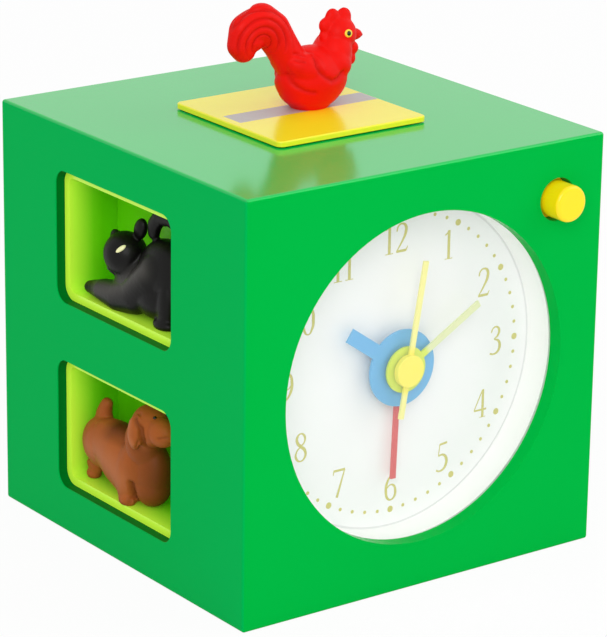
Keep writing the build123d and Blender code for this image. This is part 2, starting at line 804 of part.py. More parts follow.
set_turn = partner_turn(reduction_wheel_teeth, reduction_turn, set_pinion_teeth, set_angle)
hour_turn = partner_turn(reduction_pinion_teeth, 0, hour_wheel_teeth, 180)
alarm_pinion_turn = partner_turn(alarm_wheel_teeth, 0, alarm_pinion_teeth, alarm_direction)
third_turn = partner_turn(second_pinion_teeth, 0, third_wheel_teeth, -90)
centre_turn = partner_turn(third_pinion_teeth, 0, centre_wheel_teeth, 90)
intermediate_turn = partner_turn(second_wheel_teeth, 0, intermediate_pinion_teeth, 180)
rotor_turn = partner_turn(intermediate_wheel_teeth, 0, rotor_pinion_teeth, rotor_angle)


def behind(order):
    """Plane at the back of one layer of wheels."""
    return facing(level(order) + wheel_thickness)


# Wheels on the dial's axis, each with the tube that carries its hand
with BuildPart() as alarm_wheel:
    with BuildSketch(behind(alarm_level)):
        gear_face(alarm_wheel_teeth, alarm_module, 0)
        Circle(alarm_tube_bore, mode=Mode.SUBTRACT)
    extrude(amount=wheel_thickness)
    with BuildSketch(behind(alarm_level)):
        Circle(alarm_tube_radius)
        Circle(alarm_tube_bore, mode=Mode.SUBTRACT)
    extrude(amount=level(alarm_level) + wheel_thickness - dial_y + alarm_hand_lift + hand_thickness)
alarm_wheel.part.label = "alarm_wheel"
export_step(alarm_wheel.part, "parts/alarm_wheel.step")

with BuildPart() as hour_wheel:
    with BuildSketch(behind(hour_level)):
        gear_face(hour_wheel_teeth, hour_module, hour_turn)
        Circle(hour_tube_bore, mode=Mode.SUBTRACT)
    extrude(amount=wheel_thickness)
    with BuildSketch(behind(hour_level)):
        Circle(hour_tube_radius)
        Circle(hour_tube_bore, mode=Mode.SUBTRACT)
    extrude(amount=level(hour_level) + wheel_thickness - dial_y + hour_hand_lift + hand_thickness)
hour_wheel.part.label = "hour_wheel"
export_step(hour_wheel.part, "parts/hour_wheel.step")

with BuildPart() as minute_pinion:
    with BuildSketch(behind(minute_level)):
        gear_face(minute_pinion_teeth, motion_module, 0)
        Circle(minute_tube_bore, mode=Mode.SUBTRACT)
    extrude(amount=wheel_thickness)
    with BuildSketch(facing(level(third_level) - end_play)):
        Circle(minute_tube_radius)
        Circle(minute_tube_bore, mode=Mode.SUBTRACT)
    extrude(amount=level(third_level) - end_play - dial_y + minute_hand_lift + hand_thickness)
minute_pinion.part.label = "minute_pinion"
export_step(minute_pinion.part, "parts/minute_pinion.step")

# Centre wheel, gripping the minute tube as a slipping clutch
with BuildPart() as centre_wheel:
    with BuildSketch(behind(centre_level)):
        gear_face(centre_wheel_teeth, centre_module, centre_turn)
        Circle(minute_tube_radius + arbor_clearance, mode=Mode.SUBTRACT)
    extrude(amount=wheel_thickness)
centre_wheel.part.label = "centre_wheel"
export_step(centre_wheel.part, "parts/centre_wheel.step")

with BuildPart() as second_wheel:
    with BuildSketch(behind(second_level)):
        gear_face(second_wheel_teeth, second_module, 0)
    extrude(amount=wheel_thickness)
    with BuildSketch(facing(level(second_level))):
        gear_face(second_pinion_teeth, third_module, 0)
    extrude(amount=wheel_step)
    with BuildSketch(facing(rear_inner_y + pivot_length)):
        Circle(second_shaft_radius)
    extrude(amount=rear_inner_y + pivot_length - dial_y + second_hand_lift + hand_thickness)
second_wheel.part.label = "second_wheel"
export_step(second_wheel.part, "parts/second_wheel.step")

# Wheels beside the axis, each running on a pin with a pinion in front of it
with BuildPart() as reduction_wheel:
    with BuildSketch(behind(minute_level)):
        gear_face(reduction_wheel_teeth, motion_module, reduction_turn, reduction_place)
        with Locations(reduction_place):
            Circle(pin_bore, mode=Mode.SUBTRACT)
    extrude(amount=wheel_thickness)
    with BuildSketch(facing(level(minute_level))):
        gear_face(reduction_pinion_teeth, hour_module, 0, reduction_place)
        with Locations(reduction_place):
            Circle(pin_bore, mode=Mode.SUBTRACT)
    extrude(amount=wheel_step)
reduction_wheel.part.label = "reduction_wheel"
export_step(reduction_wheel.part, "parts/reduction_wheel.step")

with BuildPart() as third_wheel:
    with BuildSketch(behind(third_level)):
        gear_face(third_wheel_teeth, third_module, third_turn, third_place)
        with Locations(third_place):
            Circle(pin_bore, mode=Mode.SUBTRACT)
    extrude(amount=wheel_thickness)
    with BuildSketch(facing(level(third_level))):
        gear_face(third_pinion_teeth, centre_module, 0, third_place)
        with Locations(third_place):
            Circle(pin_bore, mode=Mode.SUBTRACT)
    extrude(amount=wheel_step)
third_wheel.part.label = "third_wheel"
export_step(third_wheel.part, "parts/third_wheel.step")

with BuildPart() as intermediate_wheel:
    with BuildSketch(behind(rotor_level)):
        gear_face(intermediate_wheel_teeth, rotor_module, 0, intermediate_place)
        with Locations(intermediate_place):
            Circle(pin_bore, mode=Mode.SUBTRACT)
    extrude(amount=wheel_thickness)
    with BuildSketch(facing(level(rotor_level))):
        gear_face(intermediate_pinion_teeth, second_module, intermediate_turn, intermediate_place)
        with Locations(intermediate_place):
            Circle(pin_bore, mode=Mode.SUBTRACT)
    extrude(amount=wheel_step)
intermediate_wheel.part.label = "intermediate_wheel"
export_step(intermediate_wheel.part, "parts/intermediate_wheel.step")

magnet_y = inside_y + magnet_level
with BuildPart() as rotor:
    with BuildSketch(behind(rotor_level)):
        gear_face(rotor_pinion_teeth, rotor_module, rotor_turn, rotor_place)
    extrude(amount=wheel_thickness)
    with BuildSketch(facing(level(rotor_level))):
        with Locations(rotor_place):
            Circle(rotor_hub_radius)
    extrude(amount=level(rotor_level) - magnet_y)
    with BuildSketch(facing(magnet_y + magnet_length)):
        with Locations(rotor_place):
            Circle(magnet_radius)
    extrude(amount=magnet_length)
    with BuildSketch(behind(rotor_level)):
        with Locations(rotor_place):
            Circle(pin_bore)
    extrude(amount=level(rotor_level) + wheel_thickness - magnet_y, mode=Mode.SUBTRACT)
rotor.part.label = "rotor"
export_step(rotor.part, "parts/rotor.step")

# Movement case: a front plate with the bush, and a rear shell with the wheels' pins
boss_spread = movement_size - boss_inset * 2
shell_room = movement_size - movement_wall * 2
stator_middle = (rotor_place[0] - stator_aside, rotor_place[1] + stator_rise - stator_height / 2)
stator_y = magnet_y + (magnet_length - stator_thickness) / 2
upper_post_x = stator_middle[0] - stator_width / 2 + stator_post_radius
upper_post_rise = rotor_place[1] + stator_rise - stator_post_radius
lower_post_x = stator_middle[0] + stator_width / 2 - stator_leg / 2
lower_post_rise = stator_middle[1] - stator_height / 2 + stator_bar / 2
stator_posts = ((upper_post_x, upper_post_rise), (lower_post_x, lower_post_rise))
small_board_y = rear_inner_y - small_board_post - small_board_thickness
pins = (
    (reduction_place, level(hour_level) - end_play),
    (third_place, level(centre_level) - end_play),
    (intermediate_place, level(second_level) - end_play),
    (rotor_place, magnet_y - end_play),
)

with BuildPart() as movement_front_case:
    with BuildSketch(facing(inside_y)):
        RectangleRounded(movement_size, movement_size, movement_corner)
    extrude(amount=movement_wall)
    with BuildSketch(facing(dial_back_y)):
        Circle(bush_radius)
    extrude(amount=dial_thickness + bush_proud)
    with BuildSketch(facing(inside_y)):
        Circle(bush_bore)
    extrude(amount=movement_wall + dial_thickness + bush_proud, mode=Mode.SUBTRACT)
    with BuildSketch(facing(inside_y)):
        with Locations(set_place, alarm_set_place):
            Circle(pivot_radius + arbor_clearance)
    extrude(amount=pivot_length + arbor_clearance, mode=Mode.SUBTRACT)
    with BuildSketch(facing(inside_y)):
        with GridLocations(boss_spread, boss_spread, 2, 2):
            Circle(movement_screw_radius)
    extrude(amount=movement_screw_bite, mode=Mode.SUBTRACT)
movement_front_case.part.label = "movement_front_case"
export_step(movement_front_case.part, "parts/movement_front_case.step")

with BuildPart() as movement_rear_case:
    with BuildSketch(facing(movement_back_y)):
        RectangleRounded(movement_size, movement_size, movement_corner)
    extrude(amount=movement_back_y - inside_y)
    with BuildSketch(facing(rear_inner_y)):
        RectangleRounded(shell_room, shell_room, movement_corner - movement_wall)
    extrude(amount=rear_inner_y - inside_y, mode=Mode.SUBTRACT)
    with BuildSketch(facing(rear_inner_y)):
        with GridLocations(boss_spread, boss_spread, 2, 2):
            Circle(boss_radius)
    extrude(amount=rear_inner_y - inside_y)
    for place, pin_front in pins:
        with BuildSketch(facing(rear_inner_y)):
            with Locations(place):
                Circle(pin_radius)
        extrude(amount=rear_inner_y - pin_front)
    with BuildSketch(facing(rear_inner_y)):
        with Locations(*stator_posts):
            Circle(stator_post_radius)
    extrude(amount=rear_inner_y - stator_y - stator_thickness)
    with BuildSketch(facing(rear_inner_y)):
        with Locations((0, small_board_rise)):
            with GridLocations(small_board_length - boss_radius * 2, 0, 2, 1):
                Circle(stator_post_radius)
    extrude(amount=small_board_post)
    with BuildSketch(facing(movement_back_y)):
        with GridLocations(boss_spread, boss_spread, 2, 2):
            Circle(movement_screw_radius)
        with Locations(set_place, alarm_set_place):
            Circle(spindle_bore)
    extrude(amount=movement_back_y - inside_y, mode=Mode.SUBTRACT)
    with BuildSketch(facing(rear_inner_y + pivot_length + arbor_clearance)):
        Circle(second_shaft_radius + arbor_clearance)
    extrude(amount=pivot_length + arbor_clearance, mode=Mode.SUBTRACT)
movement_rear_case.part.label = "movement_rear_case"
export_step(movement_rear_case.part, "parts/movement_rear_case.step")

with BuildPart() as movement_screws:
    with BuildSketch(facing(movement_back_y)):
        with GridLocations(boss_spread, boss_spread, 2, 2):
            Circle(movement_screw_radius)
    extrude(amount=movement_back_y - inside_y + movement_screw_bite)
    with BuildSketch(facing(movement_back_y)):
        with GridLocations(boss_spread, boss_spread, 2, 2):
            Circle(movement_screw_head_radius)
    extrude(amount=-movement_screw_head_height)
movement_screws.part.label = "movement_screws"
export_step(movement_screws.part, "parts/movement_screws.step")

# Stepping motor: a flat stator round the rotor, with a coil on its lower bar
coil_window = stator_height - stator_rise * 2 - stator_bar
with BuildPart() as stator:
    with BuildSketch(facing(stator_y + stator_thickness)):
        with Locations(stator_middle):
            Rectangle(stator_width, stator_height)
            with Locations((0, stator_bar / 2 - stator_rise)):
                Rectangle(stator_width - stator_leg * 2, coil_window, mode=Mode.SUBTRACT)
        with Locations(rotor_place):
            Circle(stator_bore, mode=Mode.SUBTRACT)
    extrude(amount=stator_thickness)
stator.part.label = "stator"
export_step(stator.part, "parts/stator.step")

coil_plane = Plane(
    origin=(
        stator_middle[0] - coil_length / 2,
        stator_y + stator_thickness / 2,
        axis_height + stator_middle[1] - stator_height / 2 + stator_bar / 2,
    ),
    x_dir=(0, 1, 0),
    z_dir=(1, 0, 0),
)
with BuildPart() as coil:
    with BuildSketch(coil_plane):
        Circle(coil_radius)
        Rectangle(
            stator_thickness + seat_clearance * 2, stator_bar + seat_clearance * 2, mode=Mode.SUBTRACT
        )
    extrude(amount=coil_length)
coil.part.label = "coil"
export_step(coil.part, "parts/coil.step")

with BuildPart() as movement_board:
    with BuildSketch(facing(small_board_y + small_board_thickness)):
        with Locations((0, small_board_rise)):
            Rectangle(small_board_length, small_board_height)
    extrude(amount=small_board_thickness)
movement_board.part.label = "movement_board"
export_step(movement_board.part, "parts/movement_board.step")

crystal_plane = Plane(
    origin=(-crystal_length / 2, small_board_y - crystal_radius, axis_height + small_board_rise),
    x_dir=(0, 1, 0),
    z_dir=(1, 0, 0),
)
with BuildPart() as quartz_crystal:
    with BuildSketch(crystal_plane):
        Circle(crystal_radius)
    extrude(amount=crystal_length)
quartz_crystal.part.label = "quartz_crystal"
export_step(quartz_crystal.part, "parts/quartz_crystal.step")

# Setting spindles run from the movement through the back panel to their knobs
spindle_front_y = inside_y + end_play
knob_front_y = panel_outer_y + knob_gap
spindle_back_y = knob_front_y + knob_bore_depth

with BuildPart() as time_set_spindle:
    with BuildSketch(facing(spindle_back_y)):
        with Locations(set_place):
            Circle(spindle_radius)
    extrude(amount=spindle_back_y - spindle_front_y)
    with BuildSketch(facing(spindle_front_y)):
        with Locations(set_place):
            Circle(pivot_radius)
    extrude(amount=pivot_length)
    with BuildSketch(behind(minute_level)):
        gear_face(set_pinion_teeth, motion_module, set_turn, set_place)
    extrude(amount=wheel_thickness)
time_set_spindle.part.label = "time_set_spindle"
export_step(time_set_spindle.part, "parts/time_set_spindle.step")

with BuildPart() as alarm_set_spindle:
    with BuildSketch(facing(spindle_back_y)):
        with Locations(alarm_set_place):
            Circle(spindle_radius)
    extrude(amount=spindle_back_y - spindle_front_y)
    with BuildSketch(facing(spindle_front_y)):
        with Locations(alarm_set_place):
            Circle(pivot_radius)
    extrude(amount=pivot_length)
    with BuildSketch(behind(alarm_level)):
        gear_face(alarm_pinion_teeth, alarm_module, alarm_pinion_turn, alarm_set_place)
    extrude(amount=wheel_thickness)
alarm_set_spindle.part.label = "alarm_set_spindle"
export_step(alarm_set_spindle.part, "parts/alarm_set_spindle.step")

for knob_name, place in (("time_set_knob", set_place), ("alarm_set_knob", alarm_set_place)):
    with BuildPart() as knob:
        with BuildSketch(facing(knob_front_y + knob_length)):
            with Locations(place):
                Circle(knob_radius)
        extrude(amount=knob_length)
        fillet(knob.faces().sort_by(Axis.Y)[-1].edges(), knob_edge_round)
        with BuildSketch(facing(knob_front_y + knob_length)):
            with Locations(place):
                with PolarLocations(knob_radius, knob_grips):
                    Circle(knob_grip_radius)
        extrude(amount=knob_length, mode=Mode.SUBTRACT)
        with BuildSketch(facing(spindle_back_y)):
            with Locations(place):
                Circle(spindle_radius)
        extrude(amount=knob_bore_depth, mode=Mode.SUBTRACT)
    knob.part.label = knob_name
    export_step(knob.part, f"parts/{knob_name}.step")

# Front button: a cap with a collar behind the board, a stem, a spring and a small switch
collar_front_y = front_inner_y + seat_clearance
collar_back_y = collar_front_y + button_collar_thickness
housing_bore = button_collar_radius + button_guide_clearance
housing_radius = housing_bore + button_housing_wall
housing_back_y = front_inner_y + button_housing_length
housing_floor_y = housing_back_y - button_housing_wall
stem_back_y = housing_back_y - switch_gap - button_travel

with BuildPart() as front_button:
    with BuildSketch(facing(collar_front_y)):
        with Locations(button_place):
            Circle(button_radius)
    extrude(amount=collar_front_y - front_y + button_proud)
    fillet(front_button.faces().sort_by(Axis.Y)[0].edges(), button_round)
    with BuildSketch(facing(collar_back_y)):
        with Locations(button_place):
            Circle(button_collar_radius)
    extrude(amount=button_collar_thickness)
    with BuildSketch(facing(stem_back_y)):
        with Locations(button_place):
            Circle(button_stem_radius)
    extrude(amount=stem_back_y - collar_back_y)
front_button.part.label = "front_button"
export_step(front_button.part, "parts/front_button.step")

with BuildPart() as button_housing:
    with BuildSketch(facing(housing_back_y)):
        with Locations(button_place):
            Circle(housing_radius)
    extrude(amount=button_housing_length)
    with BuildSketch(facing(housing_floor_y)):
        with Locations(button_place):
            Circle(housing_bore)
    extrude(amount=housing_floor_y - front_inner_y, mode=Mode.SUBTRACT)
    with BuildSketch(facing(housing_back_y)):
        with Locations(button_place):
            Circle(button_stem_radius + button_guide_clearance)
    extrude(amount=button_housing_wall, mode=Mode.SUBTRACT)
button_housing.part.label = "button_housing"
export_step(button_housing.part, "parts/button_housing.step")

with BuildPart() as button_switch:
    with BuildSketch(facing(housing_back_y)):
        with Locations(button_place):
            Rectangle(switch_size, switch_size)
    extrude(amount=-switch_depth)
button_switch.part.label = "button_switch"
export_step(button_switch.part, "parts/button_switch.step")

spring_start_y = collar_back_y + spring_wire + seat_clearance
spring_length = housing_floor_y - spring_wire - seat_clearance - spring_start_y
with BuildPart() as button_spring:
    with BuildLine() as spring_path:
        Helix(
            pitch=spring_length / spring_turns,
            height=spring_length,
            radius=spring_radius,
            center=(button_aside, spring_start_y, axis_height + button_rise),
            direction=(0, 1, 0),
        )
    with BuildSketch(Plane(origin=spring_path.line @ 0, z_dir=spring_path.line % 0)):
        Circle(spring_wire)
    sweep(path=spring_path.line, is_frenet=True)
button_spring.part.label = "button_spring"
export_step(button_spring.part, "parts/button_spring.step")

# Battery box on the back panel, with cells lying side to side, contacts and a lift-off door
box_inner_depth = cell_pitch
box_depth = box_inner_depth + box_wall
box_front_y = panel_inner_y - box_depth
cell_y = panel_inner_y - cell_pitch / 2
standoff_grid = (main_board_length - standoff_inset * 2, main_board_height - standoff_inset * 2, 2, 2)

with BuildPart() as battery_box:
    with BuildSketch(facing(panel_inner_y)):
        with Locations((0, box_middle)):
            Rectangle(box_length, box_height)
    extrude(amount=box_depth)
    with BuildSketch(facing(panel_inner_y)):
        with Locations((0, box_middle)):
            Rectangle(box_inner_length, box_inner_height)
    extrude(amount=box_inner_depth, mode=Mode.SUBTRACT)
    with BuildSketch(facing(box_front_y)):
        with Locations((0, box_middle)):
            with GridLocations(*standoff_grid):
                Circle(standoff_radius)
    extrude(amount=standoff_length)
battery_box.part.label = "battery_box"
export_step(battery_box.part, "parts/battery_box.step")

contact_depth = contact_thickness + contact_spring
row_rises = [box_middle + (row - (cell_count - 1) / 2) * cell_pitch for row in range(cell_count)]

with BuildPart() as battery_cells:
    for row, rise in enumerate(row_rises):
        way = 1 if row % 2 == 0 else -1
        flat_end = Plane(
            origin=(-way * (box_inner_length / 2 - contact_depth), cell_y, axis_height + rise),
            x_dir=(0, 1, 0),
            z_dir=(way, 0, 0),
        )
        with BuildSketch(flat_end):
            Circle(cell_radius)
        extrude(amount=cell_length)
        with BuildSketch(flat_end.offset(cell_length)):
            Circle(cell_nub_radius)
        extrude(amount=cell_nub_length)
battery_cells.part.label = "battery_cells"
export_step(battery_cells.part, "parts/battery_cells.step")

with BuildPart() as battery_contacts:
    for rise in row_rises:
        for way in (-1, 1):
            end_plane = Plane(
                origin=(way * box_inner_length / 2, cell_y, axis_height + rise),
                x_dir=(0, 1, 0),
                z_dir=(-way, 0, 0),
            )
            with BuildSketch(end_plane):
                Rectangle(cell_radius, cell_radius)
            extrude(amount=contact_thickness)
            with BuildSketch(end_plane):
                Circle(contact_radius)
            extrude(amount=contact_depth)
battery_contacts.part.label = "battery_contacts"
export_step(battery_contacts.part, "parts/battery_contacts.step")

with BuildPart() as battery_door:
    with BuildSketch(facing(panel_outer_y)):
        with Locations((0, box_middle)):
            RectangleRounded(door_length, door_height, door_corner + door_ledge - door_clearance)
    extrude(amount=door_thickness - seat_clearance)
    with BuildSketch(facing(panel_outer_y)):
        with Locations((0, box_middle + door_height / 2 - finger_slot_width * 2)):
            SlotOverall(finger_slot_length, finger_slot_width)
    extrude(amount=finger_slot_depth, mode=Mode.SUBTRACT)
battery_door.part.label = "battery_door"
export_step(battery_door.part, "parts/battery_door.step")

# Main circuit board on the battery box's standoffs, with the sound chip
main_board_y = box_front_y - standoff_length
with BuildPart() as main_board:
    with BuildSketch(facing(main_board_y)):
        with Locations((0, box_middle)):
            Rectangle(main_board_length, main_board_height)
    extrude(amount=main_board_thickness)
main_board.part.label = "main_board"
export_step(main_board.part, "parts/main_board.step")

chip_y = main_board_y - main_board_thickness
with BuildPart() as sound_chip:
    with BuildSketch(facing(chip_y)):
        with Locations((0, box_middle)):
            Rectangle(chip_length, chip_width)
    extrude(amount=chip_thickness)
    with BuildSketch(facing(chip_y)):
        with Locations((0, box_middle)):
            with GridLocations(chip_length / chip_legs, chip_width + chip_leg, chip_legs, 2):
                Rectangle(chip_leg, chip_leg * 2)
    extrude(amount=chip_leg)
sound_chip.part.label = "sound_chip"
export_step(sound_chip.part, "parts/sound_chip.step")

# Speaker behind the grille: a shallow basket, a cone and a magnet
speaker_axis = Axis((0, panel_inner_y, axis_height + speaker_rise), (0, 1, 0))
speaker_plane = Plane(origin=speaker_axis.position, x_dir=(1, 0, 0), z_dir=(0, 0, 1))
mouth_radius = speaker_radius - speaker_rim
cone_top = speaker_rim_thickness / 2

with BuildPart() as speaker_frame:
    with BuildSketch(speaker_plane):
        with BuildLine():
            Polyline(
                (speaker_radius, 0),
                (speaker_radius, -speaker_rim_thickness),
                (speaker_throat + speaker_wall, -speaker_depth),
                (0, -speaker_depth),
                (0, speaker_wall - speaker_depth),
                (speaker_throat, speaker_wall - speaker_depth),
                (mouth_radius, -speaker_rim_thickness),
                (mouth_radius, 0),
                close=True,
            )
        make_face()
    revolve(axis=speaker_axis)
speaker_frame.part.label = "speaker_frame"
export_step(speaker_frame.part, "parts/speaker_frame.step")

with BuildPart() as speaker_cone:
    with BuildSketch(speaker_plane):
        with BuildLine():
            Polyline(
                (mouth_radius - cone_rim_gap, -cone_top),
                (mouth_radius - cone_rim_gap, -cone_top - cone_thickness),
                (cone_dome, -cone_top - cone_thickness - cone_drop),
                (0, -cone_top - cone_thickness - cone_drop),
                (0, -cone_top - cone_drop),
                (cone_dome, -cone_top - cone_drop),
                close=True,
            )
        make_face()
    revolve(axis=speaker_axis)
speaker_cone.part.label = "speaker_cone"
export_step(speaker_cone.part, "parts/speaker_cone.step")

with BuildPart() as speaker_magnet:
    with BuildSketch(facing(panel_inner_y - speaker_depth)):
        with Locations((0, speaker_rise)):
            Circle(speaker_magnet_radius)
    extrude(amount=speaker_magnet_depth)
speaker_magnet.part.label = "speaker_magnet"
export_step(speaker_magnet.part, "parts/speaker_magnet.step")

# Alarm switch: a body behind the back panel, and a slider whose stub comes through a slot
with BuildPart() as alarm_switch_body:
    with BuildSketch(facing(panel_inner_y)):
        with Locations(slide_place):
            Rectangle(slide_body_length, slide_body_height)
    extrude(amount=slide_body_depth)
    with BuildSketch(facing(panel_inner_y)):
        with Locations(slide_place):
            Rectangle(slide_body_length - slide_wall * 2, slide_body_height - slide_wall * 2)
    extrude(amount=slide_body_depth - slide_wall, mode=Mode.SUBTRACT)
alarm_switch_body.part.label = "alarm_switch_body"
export_step(alarm_switch_body.part, "parts/alarm_switch_body.step")

slider_place = (slide_place[0] - slide_travel / 2, slide_place[1])
with BuildPart() as alarm_switch_slider:
    with BuildSketch(facing(panel_inner_y - slide_clearance)):
        with Locations(slider_place):
            Rectangle(
                slide_body_length - slide_wall * 2 - slide_travel - slide_clearance * 2,
                slide_body_height - slide_wall * 2 - slide_clearance * 2,
            )
    extrude(amount=slide_shoe)
    with BuildSketch(facing(panel_outer_y + slide_stub_proud)):
        with Locations(slider_place):
            Rectangle(slide_stub_length, slide_stub_height)
    extrude(amount=slide_stub_proud + board + slide_clearance)
alarm_switch_slider.part.label = "alarm_switch_slider"
export_step(alarm_switch_slider.part, "parts/alarm_switch_slider.step")

# Figures stand on the perch and on the floors of the two niches
figure_drop = window_height / 2 - tray_fit - tray_wall - figure_clearance
rooster_base = (rooster_aside, rooster_rearward, perch_top)
cat_base = (cat_inset - side_inner, window_rearward - cat_forward, axis_height + window_rise - figure_drop)
dog_base = (dog_inset - side_inner, window_rearward + dog_rearward, axis_height - window_rise - figure_drop)

# Each figure is made standing at the origin, then set in its place
with BuildPart() as rooster_shape:
    swellings(rooster_shares, (rooster_length, rooster_width, rooster_height))
    split(bisect_by=Plane.XY, keep=Keep.TOP)

with BuildPart() as rooster_figure:
    add(Location(rooster_base) * rooster_shape.part, clean=False)
rooster_figure.part.label = "rooster_figure"
export_step(rooster_figure.part, "parts/rooster_figure.step")

with BuildPart() as cat_shape:
    swellings(cat_shares, (cat_depth, cat_length, cat_height))
    split(bisect_by=Plane.XY, keep=Keep.TOP)

with BuildPart() as cat_figure:
    add(Location(cat_base) * cat_shape.part, clean=False)
cat_figure.part.label = "cat_figure"
export_step(cat_figure.part, "parts/cat_figure.step")

with BuildPart() as dog_shape:
    swellings(dog_shares, (dog_depth, dog_length, dog_height))
    split(bisect_by=Plane.XY, keep=Keep.TOP)

with BuildPart() as dog_figure:
    add(Location(dog_base) * dog_shape.part, clean=False)
dog_figure.part.label = "dog_figure"
export_step(dog_figure.part, "parts/dog_figure.step")
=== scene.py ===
import json
import math
import bmesh
import bpy
from mathutils import Euler, Matrix, Vector
from mathutils.bvhtree import BVHTree


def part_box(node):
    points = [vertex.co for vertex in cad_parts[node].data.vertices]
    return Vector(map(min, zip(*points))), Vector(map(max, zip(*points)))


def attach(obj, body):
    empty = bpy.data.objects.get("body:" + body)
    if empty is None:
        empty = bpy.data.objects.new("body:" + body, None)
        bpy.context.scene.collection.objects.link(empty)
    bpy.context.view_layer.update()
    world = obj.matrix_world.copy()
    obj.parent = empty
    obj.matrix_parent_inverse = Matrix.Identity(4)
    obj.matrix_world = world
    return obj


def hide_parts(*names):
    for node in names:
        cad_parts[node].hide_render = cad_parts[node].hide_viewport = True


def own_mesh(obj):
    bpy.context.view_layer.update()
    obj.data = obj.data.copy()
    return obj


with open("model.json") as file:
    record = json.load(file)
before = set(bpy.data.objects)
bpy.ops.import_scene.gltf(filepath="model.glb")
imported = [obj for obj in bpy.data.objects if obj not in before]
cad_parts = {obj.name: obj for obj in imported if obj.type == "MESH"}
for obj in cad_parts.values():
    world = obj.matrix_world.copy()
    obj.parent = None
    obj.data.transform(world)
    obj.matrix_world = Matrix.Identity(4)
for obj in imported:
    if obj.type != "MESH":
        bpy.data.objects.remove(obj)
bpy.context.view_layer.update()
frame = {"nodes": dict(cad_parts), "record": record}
record = frame["record"]
mm = 0.001
scene = bpy.context.scene
scene.view_settings.view_transform = "Standard"
print("frame loaded")


def tint(red, green, blue):  # screen colour, 0 to 255, as scene light
    parts = [part / 255 for part in (red, green, blue)]
    return tuple(p / 12.92 if p < 0.04045 else ((p + 0.055) / 1.055) ** 2.4 for p in parts) + (1,)


# Shader maths

class Val:
    def __init__(self, finish, socket):
        self.finish = finish
        self.socket = socket

    def maths(self, operation, first, second):
        return self.finish.node("ShaderNodeMath", {"operation": operation}, {0: first, 1: second})

    def __add__(self, other):
        return self.maths("ADD", self, other)

    def __radd__(self, other):
        return self.maths("ADD", other, self)

    def __sub__(self, other):
        return self.maths("SUBTRACT", self, other)

    def __rsub__(self, other):
        return self.maths("SUBTRACT", other, self)

    def __mul__(self, other):
        return self.maths("MULTIPLY", self, other)

    def __rmul__(self, other):
        return self.maths("MULTIPLY", other, self)

    def __truediv__(self, other):
        return self.maths("DIVIDE", self, other)

    def __pow__(self, other):
        return self.maths("POWER", self, other)

    def above(self, limit):
        return self.maths("GREATER_THAN", self, limit)

    def below(self, limit):
        return self.maths("LESS_THAN", self, limit)

    def held(self):  # kept between nothing and one
        return self.maths("MINIMUM", self.maths("MAXIMUM", self, 0), 1)


class Finish:
    def __init__(self, name):
        self.material = bpy.data.materials.new(name)
        self.material.use_nodes = True
        self.tree = self.material.node_tree
        self.shader = self.tree.nodes["Principled BSDF"]

    def node(self, kind, settings=None, inputs=None, out=0):
        made = self.tree.nodes.new(kind)
        for key, value in (settings or {}).items():
            setattr(made, key, value)
        for key, value in (inputs or {}).items():
            self.feed(made.inputs[key], value)
        return Val(self, made.outputs[out])

    def feed(self, socket, value):
        if isinstance(value, Val):
            self.tree.links.new(value.socket, socket)
        else:
            socket.default_value = value

    def give(self, **looks):  # sockets of the surface shader, with spaces left out of their names
        for name, value in looks.items():
            for socket in self.shader.inputs:
                if socket.name.replace(" ", "") == name:
                    self.feed(socket, value)
        return self

    def place(self):
        return self.node("ShaderNodeTexCoord", out="Object")

    def axes(self):
        split = self.node("ShaderNodeSeparateXYZ", None, {0: self.place()}).socket.node
        return [Val(self, socket) for socket in split.outputs]

    def noise(self, size, detail=2.0, roughness=0.5):  # size of a blotch in metres
        inputs = {"Vector": self.place(), "Scale": 1 / size, "Detail": detail, "Roughness": roughness}
        return self.node("ShaderNodeTexNoise", None, inputs)

    def blend(self, share, first, second):
        return self.node("ShaderNodeMix", {"data_type": "RGBA"}, {0: share, 6: first, 7: second}, out=2)

    def bump(self, height, depth, strength):
        return self.node("ShaderNodeBump", None, {"Height": height, "Distance": depth, "Strength": strength})


def darker(colour, share):
    return tuple(part * share for part in colour[:3]) + (1,)


paintSkin = {"driftDetail": 3, "grainDetail": 2, "roughFloor": 0.8, "roughDrift": 0.4, "relief": 0.4}


def moulded(name, colour, look):  # paint, lacquer and moulded plastic, with a drift of tone and a fine skin
    finish = Finish(name)
    drift = finish.noise(look["drift"], paintSkin["driftDetail"])
    skin = finish.noise(look["grain"], paintSkin["grainDetail"])
    finish.tone = finish.blend(drift, darker(colour, 1 - look["uneven"]), darker(colour, 1 + look["uneven"]))
    finish.give(
        BaseColor=finish.tone,
        Roughness=look["rough"] * paintSkin["roughFloor"] + drift * look["rough"] * paintSkin["roughDrift"],
        IOR=look["gloss"],
        Normal=finish.bump(skin, look["depth"], paintSkin["relief"]),
    )
    return finish


lacquerLook = {"drift": 0.05, "grain": 0.0016, "uneven": 0.03, "rough": 0.13, "gloss": 1.06, "depth": 0.00002}
glossLook = {"drift": 0.02, "grain": 0.0012, "uneven": 0.03, "rough": 0.2, "gloss": 1.46, "depth": 0.00002}
satinLook = {"drift": 0.02, "grain": 0.0005, "uneven": 0.03, "rough": 0.42, "gloss": 1.42, "depth": 0.00003}
mattLook = {"drift": 0.02, "grain": 0.0004, "uneven": 0.03, "rough": 0.7, "gloss": 1.4, "depth": 0.00002}
grainLook = {"drift": 0.03, "grain": 0.0006, "uneven": 0.06, "rough": 0.5, "gloss": 1.45, "depth": 0.00008}
sheenLook = {"drift": 0.006, "grain": 0.0012, "uneven": 0.12, "rough": 0.4, "gloss": 1.27, "depth": 0.00012}
clayLook = {"drift": 0.006, "grain": 0.0012, "uneven": 0.12, "rough": 0.45, "gloss": 1.2, "depth": 0.00012}
metalLook = {
    "detail": 4, "patchy": 0.7, "dull": 0.8,
    "roughFloor": 0.7, "roughStreak": 0.6, "depth": 0.00002, "relief": 0.3,
}


